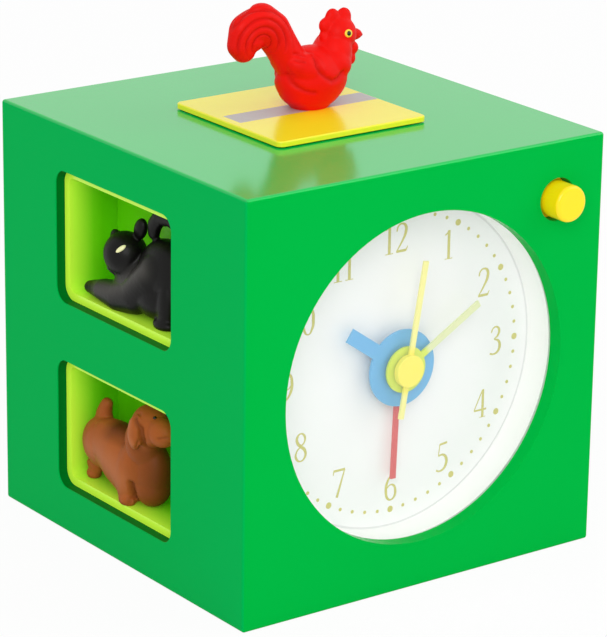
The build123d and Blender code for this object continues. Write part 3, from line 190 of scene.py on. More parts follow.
def metal(name, colour, rough, grain):  # bare metal, with streaks of a duller tone
    finish = Finish(name)
    streak = finish.noise(grain, metalLook["detail"], metalLook["patchy"])
    return finish.give(
        BaseColor=finish.blend(streak, darker(colour, metalLook["dull"]), colour),
        Metallic=1.0,
        Roughness=rough * metalLook["roughFloor"] + streak * rough * metalLook["roughStreak"],
        Normal=finish.bump(streak, metalLook["depth"], metalLook["relief"]),
    )


paint = {
    "case": tint(0, 181, 66),
    # the next two greens are painted light: the top and the left side as the lamps light them
    "caseTop": tint(0, 204, 90),
    "caseSide": tint(0, 180, 86),
    "lime": tint(200, 248, 64),
    # painted shade: the greener lime at the back of the niches
    "limeDeep": tint(104, 214, 6),
    "perch": tint(255, 246, 40),
    "strip": tint(190, 188, 186),
    "rooster": tint(240, 18, 10),
    "cat": tint(10, 9, 8),
    # painted highlight on the cat's ridges
    "catRubbed": tint(92, 89, 84),
    "dog": tint(166, 88, 38),
    # painted highlight on the dog's ridges
    "dogRubbed": tint(206, 132, 90),
    "white": tint(250, 250, 248),
    "dial": tint(252, 252, 252),
    "hour": tint(98, 180, 232),
    "minute": tint(218, 236, 70),
    "minuteBar": tint(230, 237, 180),
    "second": tint(255, 242, 84),
    "secondBar": tint(252, 246, 150),
    "alarm": tint(220, 78, 80),
    "print": tint(210, 203, 104),
    "button": tint(255, 222, 8),
    # painted glow on the button
    "buttonGlow": tint(255, 176, 0),
    "black": tint(26, 26, 28),
    "back": tint(34, 34, 36),
}


def rising(value, start, length):  # nothing at the start, one a length further on
    return ((value - start) / length).held()


def falling(value, start, length):  # nothing at the start, one a length before it
    return ((start - value) / length).held()


caseCoat = {
    "skin": 0.3 * mm,  # what lies this near to the left side belongs to its face
    "board": 4 * mm,
    "margin": 1 * mm,
    "topSkin": 0.5 * mm,
    "shift": 0.8,  # how far the top and the left side go to their greens of painted light
    # painted shade on the cut edges of the windows
    "edgeShade": 0.7,
    "edgeGreen": (0, 0.03, 0, 1),
    "rough": 0.15,
    "gloss": 1.41,
}


def caseLacquer():  # the top carries a clear coat; the top and the left side get greens of painted light, and the cut edges of the windows a deeper green of painted shade
    finish = moulded("caseLacquer", paint["case"], lacquerLook)
    across, along, up = finish.axes()
    low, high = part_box("left_board")
    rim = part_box("upper_window_tray")[1]
    outside = low.x + caseCoat["skin"]
    sunk = across.above(outside) * across.below(low.x + caseCoat["board"])
    edge = sunk * along.above(low.y + caseCoat["margin"]) * along.below(rim.y) * up.below(rim.z)
    top = up.above(high.z - caseCoat["topSkin"])
    # painted light: the top and the left side blend to greens of their own lighting
    green = finish.blend(top * caseCoat["shift"], finish.tone, paint["caseTop"])
    green = finish.blend(across.below(outside) * caseCoat["shift"], green, paint["caseSide"])
    return finish.give(
        BaseColor=finish.blend(edge * caseCoat["edgeShade"], green, caseCoat["edgeGreen"]),
        CoatWeight=top,
        CoatRoughness=caseCoat["rough"],
        CoatIOR=caseCoat["gloss"],
    )


# painted shade towards the back of the niches, and a painted glow that dims towards the back
nichePaintedLight = {"greener": 2.2, "dimmer": 1.6, "deepShare": 0.3, "strength": 0.2}


def nicheLime():  # a painted glow, bright at the mouth, and painted shade, greener towards the back
    finish = moulded("nicheLime", paint["lime"], glossLook)
    low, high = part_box("upper_window_tray")
    depth = rising(finish.axes()[0], low.x, high.x - low.x)
    # painted shade, then a painted glow, both changing with depth into the niche
    colour = finish.blend((depth * nichePaintedLight["greener"]).held(), finish.tone, paint["limeDeep"])
    deepGlow = darker(paint["limeDeep"], nichePaintedLight["deepShare"])
    glow = finish.blend((depth * nichePaintedLight["dimmer"]).held(), finish.tone, deepGlow)
    return finish.give(BaseColor=colour, EmissionColor=glow, EmissionStrength=nichePaintedLight["strength"])


# painted shade and wash in the hollows, and a painted highlight on the ridges
creaseShade = {"hollow": 0.55, "hollowTone": 0.25, "ridge": -1.6}


def creased(name, colour, look, highlight=None):  # modelled figures, with painted shade (partly a paint wash) in the hollows and a painted highlight on the ridges
    finish = moulded(name, colour, look)
    hollow = finish.node("ShaderNodeAttribute", {"attribute_name": "hollow"}, out="Fac")
    deep = darker(colour, creaseShade["hollowTone"])
    # painted shade in the hollows, partly a darker paint wash
    finish.tone = finish.blend((hollow * creaseShade["hollow"]).held(), finish.tone, deep)
    # painted highlight on the ridges
    if highlight:
        finish.tone = finish.blend((hollow * creaseShade["ridge"]).held(), finish.tone, highlight)
    return finish.give(BaseColor=finish.tone)


dogShade = {  # where each side of a patch of painted shade starts, and the length over which it comes on
    "breastFront": (1 * mm, 13 * mm),
    "breastTop": (33.5 * mm, 3 * mm),
    "backLow": (28.5 * mm, 4 * mm),
    "backFront": (2 * mm, 3 * mm),
    "backRear": (15 * mm, 4 * mm),
    "backShare": 0.8,
    "share": 0.92,
    "tone": 0.07,
}


def dogBrown():
    finish = creased("dogBrown", paint["dog"], clayLook, paint["dogRubbed"])
    along, up = finish.axes()[1:]
    # painted shade on the breast and on the back, where the niche shades the dog
    breast = falling(along, *dogShade["breastFront"]) * falling(up, *dogShade["breastTop"])
    back = rising(up, *dogShade["backLow"]) * rising(along, *dogShade["backFront"])
    back = back * falling(along, *dogShade["backRear"])
    paintedShade = (breast + back * dogShade["backShare"]) * dogShade["share"]
    return finish.give(BaseColor=finish.blend(paintedShade, finish.tone, darker(paint["dog"], dogShade["tone"])))


def aroundDial(finish):  # distance from the middle of the dial
    low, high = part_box("dial_plate")
    axes = finish.axes()
    across = axes[0] - (low.x + high.x) / 2
    up = axes[2] - (low.z + high.z) / 2
    return (across * across + up * up) ** 0.5


dialSeamShadow = {"ring": 42.95 * mm, "share": 0.26, "tone": tint(150, 152, 150)}


def dialWhite():  # a faint painted shadow where the cup stands on the dial
    finish = moulded("dialWhite", paint["dial"], mattLook)
    seam = aroundDial(finish).above(dialSeamShadow["ring"])
    return finish.give(BaseColor=finish.blend(seam * dialSeamShadow["share"], finish.tone, dialSeamShadow["tone"]))


handBars = {"minute": 7 * mm, "second": 5.2 * mm, "fade": 1.5 * mm}


def handPaint(name, hand):  # a hand whose bar is paler than its hub
    finish = moulded(name, paint[hand], satinLook)
    far = rising(aroundDial(finish), handBars[hand], handBars["fade"])
    return finish.give(BaseColor=finish.blend(far, finish.tone, paint[hand + "Bar"]))


# painted glows: emission that stands in for light thrown by neighbouring parts
paintedGlows = {"cup": (paint["white"], 0.07), "button": (paint["buttonGlow"], 0.14)}


def glowing(name, colour, look, glow):  # a bright piece with a painted glow for the light its neighbours throw on it
    tone, strength = paintedGlows[glow]
    return moulded(name, colour, look).give(EmissionColor=tone, EmissionStrength=strength)


lensLook = {"rough": 0.03, "gloss": 1.45, "drift": 0.03, "veil": 0.05, "veilDrift": 0.02}


def clearLens():  # light passes straight through, and the skin mirrors a little of the room
    finish = Finish("lensClear")
    veil = lensLook["veil"] + finish.noise(lensLook["drift"]) * lensLook["veilDrift"]
    return finish.give(BaseColor=(1, 1, 1, 1), Roughness=lensLook["rough"], IOR=lensLook["gloss"], Alpha=veil)


finishes = {
    "case_lacquer": caseLacquer(),
    "corner_wood": moulded("cornerWood", tint(205, 172, 126), mattLook),
    "niche_lime": nicheLime(),
    "perch_yellow": moulded("perchYellow", paint["perch"], glossLook),
    "strip_grey": moulded("stripGrey", paint["strip"], satinLook),
    "pad_foam": moulded("padFoam", tint(40, 42, 40), mattLook),
    "rooster_red": creased("roosterRed", paint["rooster"], clayLook),
    "cat_black": creased("catBlack", paint["cat"], sheenLook, paint["catRubbed"]),
    "dog_brown": dogBrown(),
    "cup_white": glowing("cupWhite", paint["white"], satinLook, "cup"),
    "dial_white": dialWhite(),
    "hour_blue": moulded("hourBlue", paint["hour"], satinLook),
    "minute_lime": handPaint("minuteLime", "minute"),
    "second_yellow": handPaint("secondYellow", "second"),
    "alarm_red": moulded("alarmRed", paint["alarm"], satinLook),
    "button_yellow": glowing("buttonYellow", paint["button"], glossLook, "button"),
    "inner_black": moulded("innerBlack", paint["black"], grainLook),
    "back_black": moulded("backBlack", paint["back"], grainLook),
    "gear_white": moulded("gearWhite", tint(240, 240, 230), satinLook),
    "nut_brass": metal("nutBrass", tint(216, 178, 92), 0.3, 0.002),
    "screw_steel": metal("screwSteel", tint(200, 200, 205), 0.32, 0.001),
    "contact_steel": metal("contactSteel", tint(214, 214, 212), 0.25, 0.002),
    "cell_wrap": moulded("cellWrap", tint(120, 126, 130), glossLook),
    "copper": metal("copperWire", tint(196, 118, 72), 0.35, 0.0004),
    "stator_steel": metal("statorSteel", tint(180, 180, 184), 0.4, 0.001),
    "magnet": metal("magnetGrey", tint(92, 92, 96), 0.5, 0.0008),
    "circuit_green": moulded("circuitGreen", tint(24, 110, 62), satinLook),
    "crystal_can": metal("crystalCan", tint(222, 222, 226), 0.2, 0.002),
    "speaker_steel": moulded("speakerSteel", tint(36, 36, 38), satinLook),
    "cone_paper": moulded("conePaper", tint(58, 55, 52), mattLook),
    "lens_clear": clearLens(),
}
for row in record["subparts"]:
    node = frame["nodes"][row["node"]]
    node.data.materials.clear()
    node.data.materials.append(finishes[row["material_slot"]].material)
print("finishes given to", len(record["subparts"]), "nodes")


# New pieces

def newPiece(name, shape, body, slot, finish=None, smooth=True):
    mesh = bpy.data.meshes.new(name)
    shape.to_mesh(mesh)
    shape.free()
    return meshPiece(name, mesh, body, slot, finish, smooth)


def meshPiece(name, mesh, body, slot, finish=None, smooth=True):
    mesh.materials.clear()
    mesh.materials.append((finish or finishes[slot]).material)
    for face in mesh.polygons:
        face.use_smooth = smooth
    piece = bpy.data.objects.new(name, mesh)
    scene.collection.objects.link(piece)
    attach(piece, body)
    return piece


def settled(piece):  # the mesh that a piece's modifiers give, on its own
    graph = bpy.context.evaluated_depsgraph_get()
    return bpy.data.meshes.new_from_object(piece.evaluated_get(graph))


# Print on the dial: strokes that swell and thin like a pen's

dialPrint = {
    "numeralHeight": 7.6 * mm,
    "numeralRing": 32.8 * mm,
    "dotRing": 39.0 * mm,
    "hourDot": 0.86 * mm,
    "minuteDot": 0.48 * mm,
    "inkThickness": 0.03 * mm,
    "digitGap": 0.1,
    "broadest": 0.06,  # half width of the broadest stroke, as a share of a numeral's height
    "strokeSides": 2,
    "strokeSteps": 8,
    "dotSides": 20,
}
hourAngle = 360 / 12
minuteAngle = 360 / 60
digitStrokes = {  # across, up and half width, as shares of a numeral's height
    "1": (0.36, [
        [(0.06, 0.84, 0.02), (0.15, 0.9, 0.03), (0.22, 0.98, 0.03)],
        [(0.22, 1, 0.056), (0.22, 0, 0.056)],
        [(0.06, 0.014, 0.016), (0.38, 0.014, 0.016)],
    ]),
    "2": (0.54, [
        [(0.06, 0.74, 0.03), (0.12, 0.91, 0.03), (0.27, 0.98, 0.03), (0.42, 0.88, 0.055), (0.43, 0.68, 0.06),
         (0.3, 0.4, 0.04), (0.05, 0.04, 0.02)],
        [(0.05, 0.05, 0.045), (0.46, 0.05, 0.045)],
        [(0.45, 0.05, 0.03), (0.52, 0.18, 0.016)],
    ]),
    "3": (0.5, [
        [(0.07, 0.8, 0.028), (0.15, 0.94, 0.028), (0.28, 0.98, 0.028), (0.4, 0.87, 0.05), (0.37, 0.68, 0.045),
         (0.2, 0.55, 0.02)],
        [(0.2, 0.55, 0.02), (0.39, 0.46, 0.045), (0.45, 0.27, 0.06), (0.36, 0.08, 0.045), (0.19, 0.02, 0.03),
         (0.03, 0.06, 0.035)],
    ]),
    "4": (0.56, [
        [(0.37, 0.97, 0.024), (0.04, 0.3, 0.024)],
        [(0.03, 0.28, 0.034), (0.56, 0.28, 0.034)],
        [(0.4, 1, 0.052), (0.4, 0, 0.052)],
        [(0.27, 0.014, 0.014), (0.53, 0.014, 0.014)],
    ]),
    "5": (0.5, [
        [(0.15, 0.96, 0.04), (0.46, 0.99, 0.04)],
        [(0.15, 0.97, 0.022), (0.1, 0.56, 0.022)],
        [(0.1, 0.56, 0.028), (0.28, 0.58, 0.038), (0.43, 0.44, 0.056), (0.43, 0.22, 0.056),
         (0.31, 0.05, 0.04), (0.12, 0.01, 0.03), (0.02, 0.06, 0.036)],
    ]),
    "6": (0.52, [
        [(0.46, 0.99, 0.02), (0.26, 0.87, 0.034), (0.1, 0.62, 0.052), (0.07, 0.32, 0.056),
         (0.14, 0.08, 0.045), (0.28, 0.01, 0.028), (0.42, 0.1, 0.045), (0.46, 0.3, 0.052),
         (0.39, 0.5, 0.04), (0.26, 0.55, 0.024), (0.09, 0.44, 0.024)],
    ]),
    "7": (0.52, [
        [(0.03, 0.95, 0.042), (0.5, 0.95, 0.042)],
        [(0.05, 0.95, 0.03), (0.02, 0.8, 0.016)],
        [(0.49, 0.95, 0.026), (0.18, 0, 0.05)],
    ]),
    "8": (0.52, [
        [(0.26, 0.54, 0.03), (0.4, 0.66, 0.03), (0.41, 0.86, 0.045), (0.26, 0.98, 0.024),
         (0.11, 0.86, 0.05), (0.14, 0.66, 0.055), (0.27, 0.53, 0.055), (0.42, 0.38, 0.055),
         (0.45, 0.18, 0.045), (0.26, 0.02, 0.024), (0.07, 0.18, 0.045), (0.1, 0.38, 0.03),
         (0.26, 0.54, 0.03)],
    ]),
    "0": (0.52, [
        [(0.26, 0.98, 0.022), (0.09, 0.78, 0.05), (0.06, 0.5, 0.06), (0.09, 0.22, 0.05), (0.26, 0.02, 0.022),
         (0.43, 0.22, 0.05), (0.46, 0.5, 0.06), (0.43, 0.78, 0.05), (0.26, 0.98, 0.022)],
    ]),
}
width, strokes = digitStrokes["6"]  # a nine is a six turned over
digitStrokes["9"] = (width, [[(width - x, 1 - y, r) for x, y, r in stroke] for stroke in strokes])

printGold = moulded("printGold", paint["print"], mattLook)
dialLow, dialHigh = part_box("dial_plate")
dialFace = dialLow.y
dialCentre = Vector(((dialLow.x + dialHigh.x) / 2, dialFace, (dialLow.z + dialHigh.z) / 2))


def inked(words):
    curve = bpy.data.curves.new("strokes", "CURVE")
    curve.dimensions = "3D"
    curve.bevel_depth = 1
    curve.bevel_resolution = dialPrint["strokeSides"]
    curve.use_fill_caps = True
    curve.resolution_u = dialPrint["strokeSteps"]
    pen = 0
    for digit in words:
        span, strokes = digitStrokes[digit]
        for stroke in strokes:
            spline = curve.splines.new("BEZIER")
            spline.bezier_points.add(len(stroke) - 1)
            for point, (across, up, half) in zip(spline.bezier_points, stroke):
                point.co = (pen + across, up, 0)
                point.radius = half
                point.handle_left_type = point.handle_right_type = "AUTO"
        pen += span + dialPrint["digitGap"]
    pen -= dialPrint["digitGap"]
    holder = bpy.data.objects.new("strokes", curve)
    scene.collection.objects.link(holder)
    bpy.context.view_layer.update()
    mesh = settled(holder)
    bpy.data.objects.remove(holder)
    return mesh, pen


def onDial(angle, ring):  # clockwise from twelve, seen from the front
    turn = math.radians(angle)
    return dialCentre + Vector((math.sin(turn) * ring, 0, math.cos(turn) * ring))


def printNumerals():
    height = dialPrint["numeralHeight"]
    thin = dialPrint["inkThickness"] / dialPrint["broadest"]
    lay = Matrix(((height, 0, 0, 0), (0, 0, -thin, 0), (0, height, 0, 0), (0, 0, 0, 1)))
    for hour in range(1, 13):
        mesh, span = inked(str(hour))
        flat = Matrix.Translation((-span / 2, -0.5, 0))
        mesh.transform(Matrix.Translation(onDial(hour * hourAngle, dialPrint["numeralRing"])) @ lay @ flat)
        meshPiece("numeral%02d" % hour, mesh, "case", "dial_white", printGold)


def printDots():
    shape = bmesh.new()
    upright = Matrix.Rotation(math.radians(90), 4, "X")
    for minute in range(60):
        radius = dialPrint["minuteDot"] if minute % 5 else dialPrint["hourDot"]
        place = onDial(minute * minuteAngle, dialPrint["dotRing"])
        bmesh.ops.create_cone(
            shape, cap_ends=True, segments=dialPrint["dotSides"], radius1=radius, radius2=radius,
            depth=dialPrint["inkThickness"] * 2, matrix=Matrix.Translation(place) @ upright,
        )
    newPiece("minuteDots", shape, "case", "dial_white", printGold, smooth=False)


printNumerals()
printDots()
print("dial printed")


# Figures, swollen from balls that run into each other: places and reaches are shares of a figure's sizes,
# and bases, sizes, tails and creases are in millimetres

sculpting = {
    "voxel": 0.3 * mm, "ease": 0.5, "easeRounds": 9, "ballDetail": 4, "chainSteps": 6,
    "facing": 1.6,  # how soon a crease fades where the skin turns away from the flank
}
rooster = {
    "body": "rooster", "node": "rooster_figure", "slot": "rooster_red",
    "base": (3.0, 0.5), "sizes": (42.0, 17.0, 29.2),
    "swellings": [
        ((0.02, 0, 0.265), (0.238, 0.48, 0.278), (0, 0, 0)),
        ((0.012, 0, 0.1), (0.15, 0.33, 0.17), (0, 0, 0)),
        ((0.015, 0, 0.18), (0.21, 0.43, 0.205), (0, 0, 0)),
        ((0.168, 0, 0.42), (0.118, 0.35, 0.25), (0, 18, 0)),
        ((0.225, 0, 0.61), (0.112, 0.259, 0.158), (0, 0, 0)),
        ((-0.04, 0.2, 0.36), (0.19, 0.25, 0.14), (0, 24, 0)),
        ((-0.04, -0.2, 0.36), (0.19, 0.25, 0.14), (0, 24, 0)),
        ((0.15, 0, 0.38), (0.125, 0.43, 0.16), (0, 25, 0)),
        ((0.335, 0, 0.585), (0.065, 0.09, 0.055), (0, 8, 0)),
        ((0.375, 0, 0.575), (0.035, 0.05, 0.026), (0, 12, 0)),
        ((0.31, 0.07, 0.475), (0.04, 0.09, 0.06), (0, 0, 0)),
        ((0.31, -0.07, 0.475), (0.04, 0.09, 0.06), (0, 0, 0)),
        ((0.29, 0.06, 0.385), (0.04, 0.1, 0.065), (0, 0, 0)),
        ((0.29, -0.06, 0.385), (0.04, 0.1, 0.065), (0, 0, 0)),
        ((0.122, 0, 0.605), (0.042, 0.075, 0.06), (0, 0, 0)),
        ((0.125, 0, 0.7), (0.046, 0.08, 0.07), (0, 0, 0)),
        ((0.175, 0, 0.76), (0.05, 0.08, 0.085), (0, 0, 0)),
        ((0.26, 0, 0.75), (0.055, 0.08, 0.088), (0, 0, 0)),
        ((-0.42, 0, 0.67), (0.08, 0.19, 0.1), (0, 0, 0)),
    ],
    "chains": [[
        ((-0.09, 0, 0.36), (0.12, 0.3, 0.17)),
        ((-0.145, 0, 0.452), (0.1, 0.27, 0.165)),
        ((-0.214, 0, 0.606), (0.108, 0.25, 0.155)),
        ((-0.274, 0, 0.73), (0.12, 0.235, 0.17)),
        ((-0.357, 0, 0.81), (0.125, 0.22, 0.178)),
        ((-0.455, 0, 0.765), (0.122, 0.2, 0.165)),
        ((-0.495, 0, 0.65), (0.095, 0.17, 0.13)),
        ((-0.475, 0, 0.575), (0.075, 0.14, 0.095)),
    ]],
    "tail": {
        "centre": (-13.6, 130.6), "ring": 2.1, "rim": (2.6, 10.4), "root": -4.0, "depth": 0.5,
        "sharp": 4, "rootFade": 2, "lowFade": 3,
    },
    "flank": 1,
    "creases": [
        {"path": [(-5.6, 121.9), (-4.9, 119.8), (-4.1, 118.9), (-2.3, 117.8), (0, 117.2)],
         "width": 0.55, "depth": 0.5},
        {"path": [(0.9, 126.6), (0.5, 124.2), (1.3, 122.5), (3, 121), (4.8, 119.9), (6.8, 120.2),
                  (9.1, 121.4)],
         "width": 0.65, "depth": 0.6},
        {"path": [(-4.7, 127.5), (-2.2, 126.9)], "width": 0.35, "depth": 0.35},
        {"path": [(-4.7, 125.9), (-2.8, 125.4)], "width": 0.35, "depth": 0.35},
    ],
}
cat = {
    "body": "cat", "node": "cat_figure", "slot": "cat_black",
    "base": (-45.0, 0.2), "sizes": (14.0, 50.0, 29.0),
    "swellings": [
        ((0.05, -0.13, 0.4), (0.43, 0.2, 0.32), (0, 0, 0)),
        ((0.12, -0.29, 0.34), (0.38, 0.115, 0.31), (0, 0, 0)),
        ((-0.06, 0.08, 0.27), (0.36, 0.17, 0.25), (0, 0, 0)),
        ((-0.2, 0.15, 0.49), (0.4, 0.115, 0.2), (0, 0, 0)),
        ((-0.22, 0.2, 0.395), (0.25, 0.065, 0.12), (0, 0, 0)),
        ((-0.26, 0.205, 0.6), (0.1, 0.04, 0.095), (-28, 0, 0)),
        ((-0.06, 0.07, 0.735), (0.11, 0.042, 0.11), (25, 0, 0)),
        ((-0.06, -0.1, 0.2), (0.4, 0.17, 0.2), (0, 0, 0)),
        ((-0.22, -0.23, 0.18), (0.17, 0.06, 0.24), (0, 0, 0)),
        ((-0.25, -0.23, 0.03), (0.2, 0.078, 0.06), (0, 0, 0)),
    ],
    "chains": [[
        ((0.08, -0.33, 0.5), (0.12, 0.05, 0.1)),
        ((0.06, -0.355, 0.62), (0.12, 0.045, 0.09)),
        ((0.04, -0.34, 0.76), (0.12, 0.045, 0.08)),
        ((0.02, -0.28, 0.87), (0.12, 0.045, 0.075)),
        ((0, -0.17, 0.925), (0.12, 0.05, 0.07)),
        ((-0.01, -0.08, 0.9), (0.12, 0.045, 0.075)),
        ((-0.02, -0.04, 0.82), (0.12, 0.042, 0.08)),
        ((-0.02, -0.03, 0.73), (0.1, 0.035, 0.06)),
    ], [
        ((-0.1, -0.12, 0.45), (0.34, 0.11, 0.18)),
        ((-0.2, -0.08, 0.36), (0.29, 0.1, 0.165)),
        ((-0.26, 0.032, 0.16), (0.27, 0.105, 0.16)),
        ((-0.3, 0.16, 0.1), (0.24, 0.085, 0.14)),
        ((-0.32, 0.29, 0.1), (0.2, 0.066, 0.1)),
        ((-0.32, 0.44, 0.07), (0.12, 0.035, 0.05)),
    ]],
    "flank": 0,
    "creases": [
        {"path": [(11.2, 75), (8.8, 74.4), (6.4, 75)], "width": 0.3, "depth": 0.35},
        # a raised ridge that also carries a painted highlight
        {"path": [(-5, 79), (-1, 76.5), (3.5, 72.8), (9, 70.2), (15, 69)], "width": 2.4, "depth": -0.3},
    ],
}
dog = {
    "body": "dog", "node": "dog_figure", "slot": "dog_brown",
    "base": (-46.8, 7.5), "sizes": (14.0, 40.0, 28.0),
    "swellings": [
        ((-0.014, 0.125, 0.41), (0.36, 0.3, 0.245), (0, 0, 4)),
        ((-0.05, 0.272, 0.385), (0.34, 0.187, 0.25), (0, 0, 0)),
        ((-0.04, -0.14, 0.32), (0.4, 0.16, 0.32), (0, 0, 0)),
        ((0.03, -0.235, 0.33), (0.35, 0.155, 0.3), (0, 0, 0)),
        ((0.03, -0.24, 0.18), (0.34, 0.14, 0.19), (0, 0, 0)),
        ((-0.06, -0.2, 0.58), (0.34, 0.13, 0.24), (-28, 0, 0)),
        ((-0.1, -0.31, 0.81), (0.38, 0.145, 0.2), (0, 0, 0)),
        ((-0.16, -0.45, 0.81), (0.25, 0.122, 0.135), (0, 0, 0)),
        ((-0.43, -0.298, 0.775), (0.11, 0.065, 0.175), (10, 0, 0)),
        ((0.24, -0.298, 0.775), (0.11, 0.065, 0.175), (10, 0, 0)),
        ((-0.28, -0.11, 0.2), (0.17, 0.07, 0.26), (0, 0, 0)),
        ((-0.3, -0.135, 0.04), (0.16, 0.07, 0.065), (0, 0, 0)),
        ((0.22, -0.14, 0.16), (0.16, 0.075, 0.24), (0, 0, 0)),
        ((0.2, -0.17, 0.03), (0.18, 0.09, 0.065), (0, 0, 0)),
        ((-0.06, 0.37, 0.17), (0.15, 0.075, 0.15), (0, 0, 0)),
        ((-0.07, 0.385, 0.036), (0.14, 0.056, 0.06), (0, 0, 0)),
        ((0.3, 0.33, 0.17), (0.16, 0.1, 0.18), (0, 0, 0)),
        ((0.3, 0.35, 0.03), (0.14, 0.07, 0.065), (0, 0, 0)),
    ],
    "chains": [[
        ((0.03, 0.31, 0.54), (0.17, 0.09, 0.1)),
        ((0.03, 0.315, 0.64), (0.14, 0.065, 0.08)),
        ((0.03, 0.295, 0.72), (0.12, 0.05, 0.06)),
        ((0.03, 0.275, 0.77), (0.1, 0.044, 0.05)),
    ], [
        ((-0.1, 0.22, 0.42), (0.28, 0.13, 0.22)),
        ((-0.14, 0.07, 0.34), (0.3, 0.13, 0.26)),
        ((-0.16, -0.08, 0.26), (0.3, 0.12, 0.25)),
        ((-0.16, -0.12, 0.3), (0.3, 0.12, 0.25)),
    ]],
    "flank": 0,
    "creases": [
        {"path": [(-5, 40.6), (-7.2, 38), (-7.3, 35.2), (-5.8, 32.4)], "width": 0.6, "depth": 0.95},
        {"path": [(-13.2, 37), (-16.4, 38)], "width": 0.3, "depth": 0.5},
        {"path": [(-1, 21), (-0.6, 17.5), (-1.4, 14.9)], "width": 0.8, "depth": 1.2},
        {"path": [(26.3, 18.8), (20.6, 20.8)], "width": 0.45, "depth": 0.5},
        # raised ridges that also carry a painted highlight
        {"path": [(19, 24.5), (13, 25.2), (6.5, 24), (3, 21)], "width": 3.6, "depth": -0.22},
        {"path": [(-3.4, 39), (-3.2, 35.5), (-4.6, 33)], "width": 1.2, "depth": -0.25},
    ],
}


def balls(figure):  # the swellings, and balls drawn out along each chain
    for place, reach, tilt in figure["swellings"]:
        yield Vector(place), Vector(reach), tilt
    for links in figure["chains"]:
        for (place, reach), (nextPlace, nextReach) in zip(links, links[1:]):
            for step in range(sculpting["chainSteps"]):
                share = step / sculpting["chainSteps"]
                yield Vector(place).lerp(nextPlace, share), Vector(reach).lerp(nextReach, share), (0, 0, 0)


def ringed(tail, place):  # how deep the rings on a tail are cut at a place, in millimetres
    across = place.x - tail["centre"][0]
    up = place.z - tail["centre"][1]
    ring = math.hypot(across, up)
    near, far = tail["rim"]
    if not near < ring < far or place.x > tail["root"]:
        return 0
    wave = 0.5 + 0.5 * math.cos(2 * math.pi * (ring - near) / tail["ring"])
    rootFade = min(1, (tail["root"] - place.x) / tail["rootFade"])
    lowFade = min(1, max(0, up + tail["lowFade"]) / tail["lowFade"])
    return tail["depth"] * wave ** tail["sharp"] * rootFade * lowFade


def apart(spot, start, end):  # from a spot to a straight run
    share = min(1, max(0, (spot - start).dot(end - start) / (end - start).length_squared))
    return (spot - start.lerp(end, share)).length


def pressed(figure, vert):  # how deep a figure's folds are pressed in at a place, in millimetres
    place = vert.co / mm
    cut = ringed(figure["tail"], place) if "tail" in figure else 0
    facing = min(1, abs(vert.normal[figure["flank"]]) * sculpting["facing"])
    spot = Vector((place[1 - figure["flank"]], place.z))
    for crease in figure["creases"]:
        path = [Vector(point) for point in crease["path"]]
        gap = min(apart(spot, start, end) for start, end in zip(path, path[1:])) / crease["width"]
        cut += crease["depth"] * math.exp(-gap * gap) * facing
    return cut


def sculpt(name, figure):
    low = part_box(figure["node"])[0]
    base = Vector((figure["base"][0] * mm, figure["base"][1] * mm, low.z))
    sizes = Vector(figure["sizes"]) * mm
    shape = bmesh.new()
    for place, reach, tilt in balls(figure):
        turn = Euler([math.radians(angle) for angle in tilt]).to_matrix().to_4x4()
        stretch = Matrix.Diagonal((*(reach * sizes), 1))
        bmesh.ops.create_icosphere(
            shape, subdivisions=sculpting["ballDetail"], radius=1,
            matrix=Matrix.Translation(base + place * sizes) @ turn @ stretch,
        )
    rough = bpy.data.meshes.new(name)
    shape.to_mesh(rough)
    shape.free()
    holder = bpy.data.objects.new(name, rough)
    scene.collection.objects.link(holder)
    fuse = holder.modifiers.new("fuse", "REMESH")
    fuse.mode = "VOXEL"
    fuse.voxel_size = sculpting["voxel"]
    ease = holder.modifiers.new("ease", "SMOOTH")
    ease.factor = sculpting["ease"]
    ease.iterations = sculpting["easeRounds"]
    bpy.context.view_layer.update()
    mesh = settled(holder)
    bpy.data.objects.remove(holder)
    shape = bmesh.new()
    shape.from_mesh(mesh)
    shape.normal_update()
    hollow = shape.verts.layers.float.new("hollow")
    for vert in shape.verts:
        vert[hollow] = pressed(figure, vert)
    for vert in shape.verts:
        vert.co -= vert.normal * vert[hollow] * mm
    everything = shape.verts[:] + shape.edges[:] + shape.faces[:]
    bmesh.ops.bisect_plane(
        shape, geom=everything, plane_co=(0, 0, low.z), plane_no=(0, 0, 1), clear_inner=True,
    )
    bmesh.ops.holes_fill(shape, edges=[edge for edge in shape.edges if edge.is_boundary], sides=0)
    skin = BVHTree.FromBMesh(shape)
    piece = newPiece(name, shape, figure["body"], figure["slot"])
    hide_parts(figure["node"])
    print(name, len(piece.data.polygons), "faces")
    return skin


roosterSkin = sculpt("roosterToy", rooster)
catSkin = sculpt("catToy", cat)
dogSkin = sculpt("dogToy", dog)


# Eyes and noses, beads pressed into a figure's skin at the place nearest to a spot, in millimetres

eyeYellow = moulded("eyeYellow", tint(250, 215, 60), glossLook)
eyePale = moulded("eyePale", tint(250, 246, 190), glossLook)
eyeBlack = moulded("eyeBlack", tint(14, 12, 12), glossLook)
eyes = {
    "roosterEye": {
        "spot": (12.4, 0.5, 130.5), "aside": 4.3, "reach": (1.15, 1.05, 0.35), "pupil": (0.72, 0.7, 0.6),
    },
    "catEyeNear": {"spot": (-51.5, 4.2, 82.2), "reach": (1.5, 0.6, 0.4), "turn": 40},
    "catEyeFar": {"spot": (-46.5, 13.5, 80.5), "reach": (1.3, 0.55, 0.4), "turn": -40},
    "dogEyeNear": {"spot": (-49.8, -8.7, 40.6), "reach": (0.5, 0.5, 0.35), "turn": 0},
    "dogEyeFar": {"spot": (-46.4, -8.7, 40.6), "reach": (0.5, 0.5, 0.35), "turn": 0},
    "catNose": {"spot": (-50.5, 9.4, 76.4), "reach": (0.75, 0.55, 0.4), "turn": 0},
    "dogNose": {"spot": (-47.5, -16.6, 38.6), "reach": (1.1, 0.9, 0.5), "turn": 0},
}
beadSides = 24


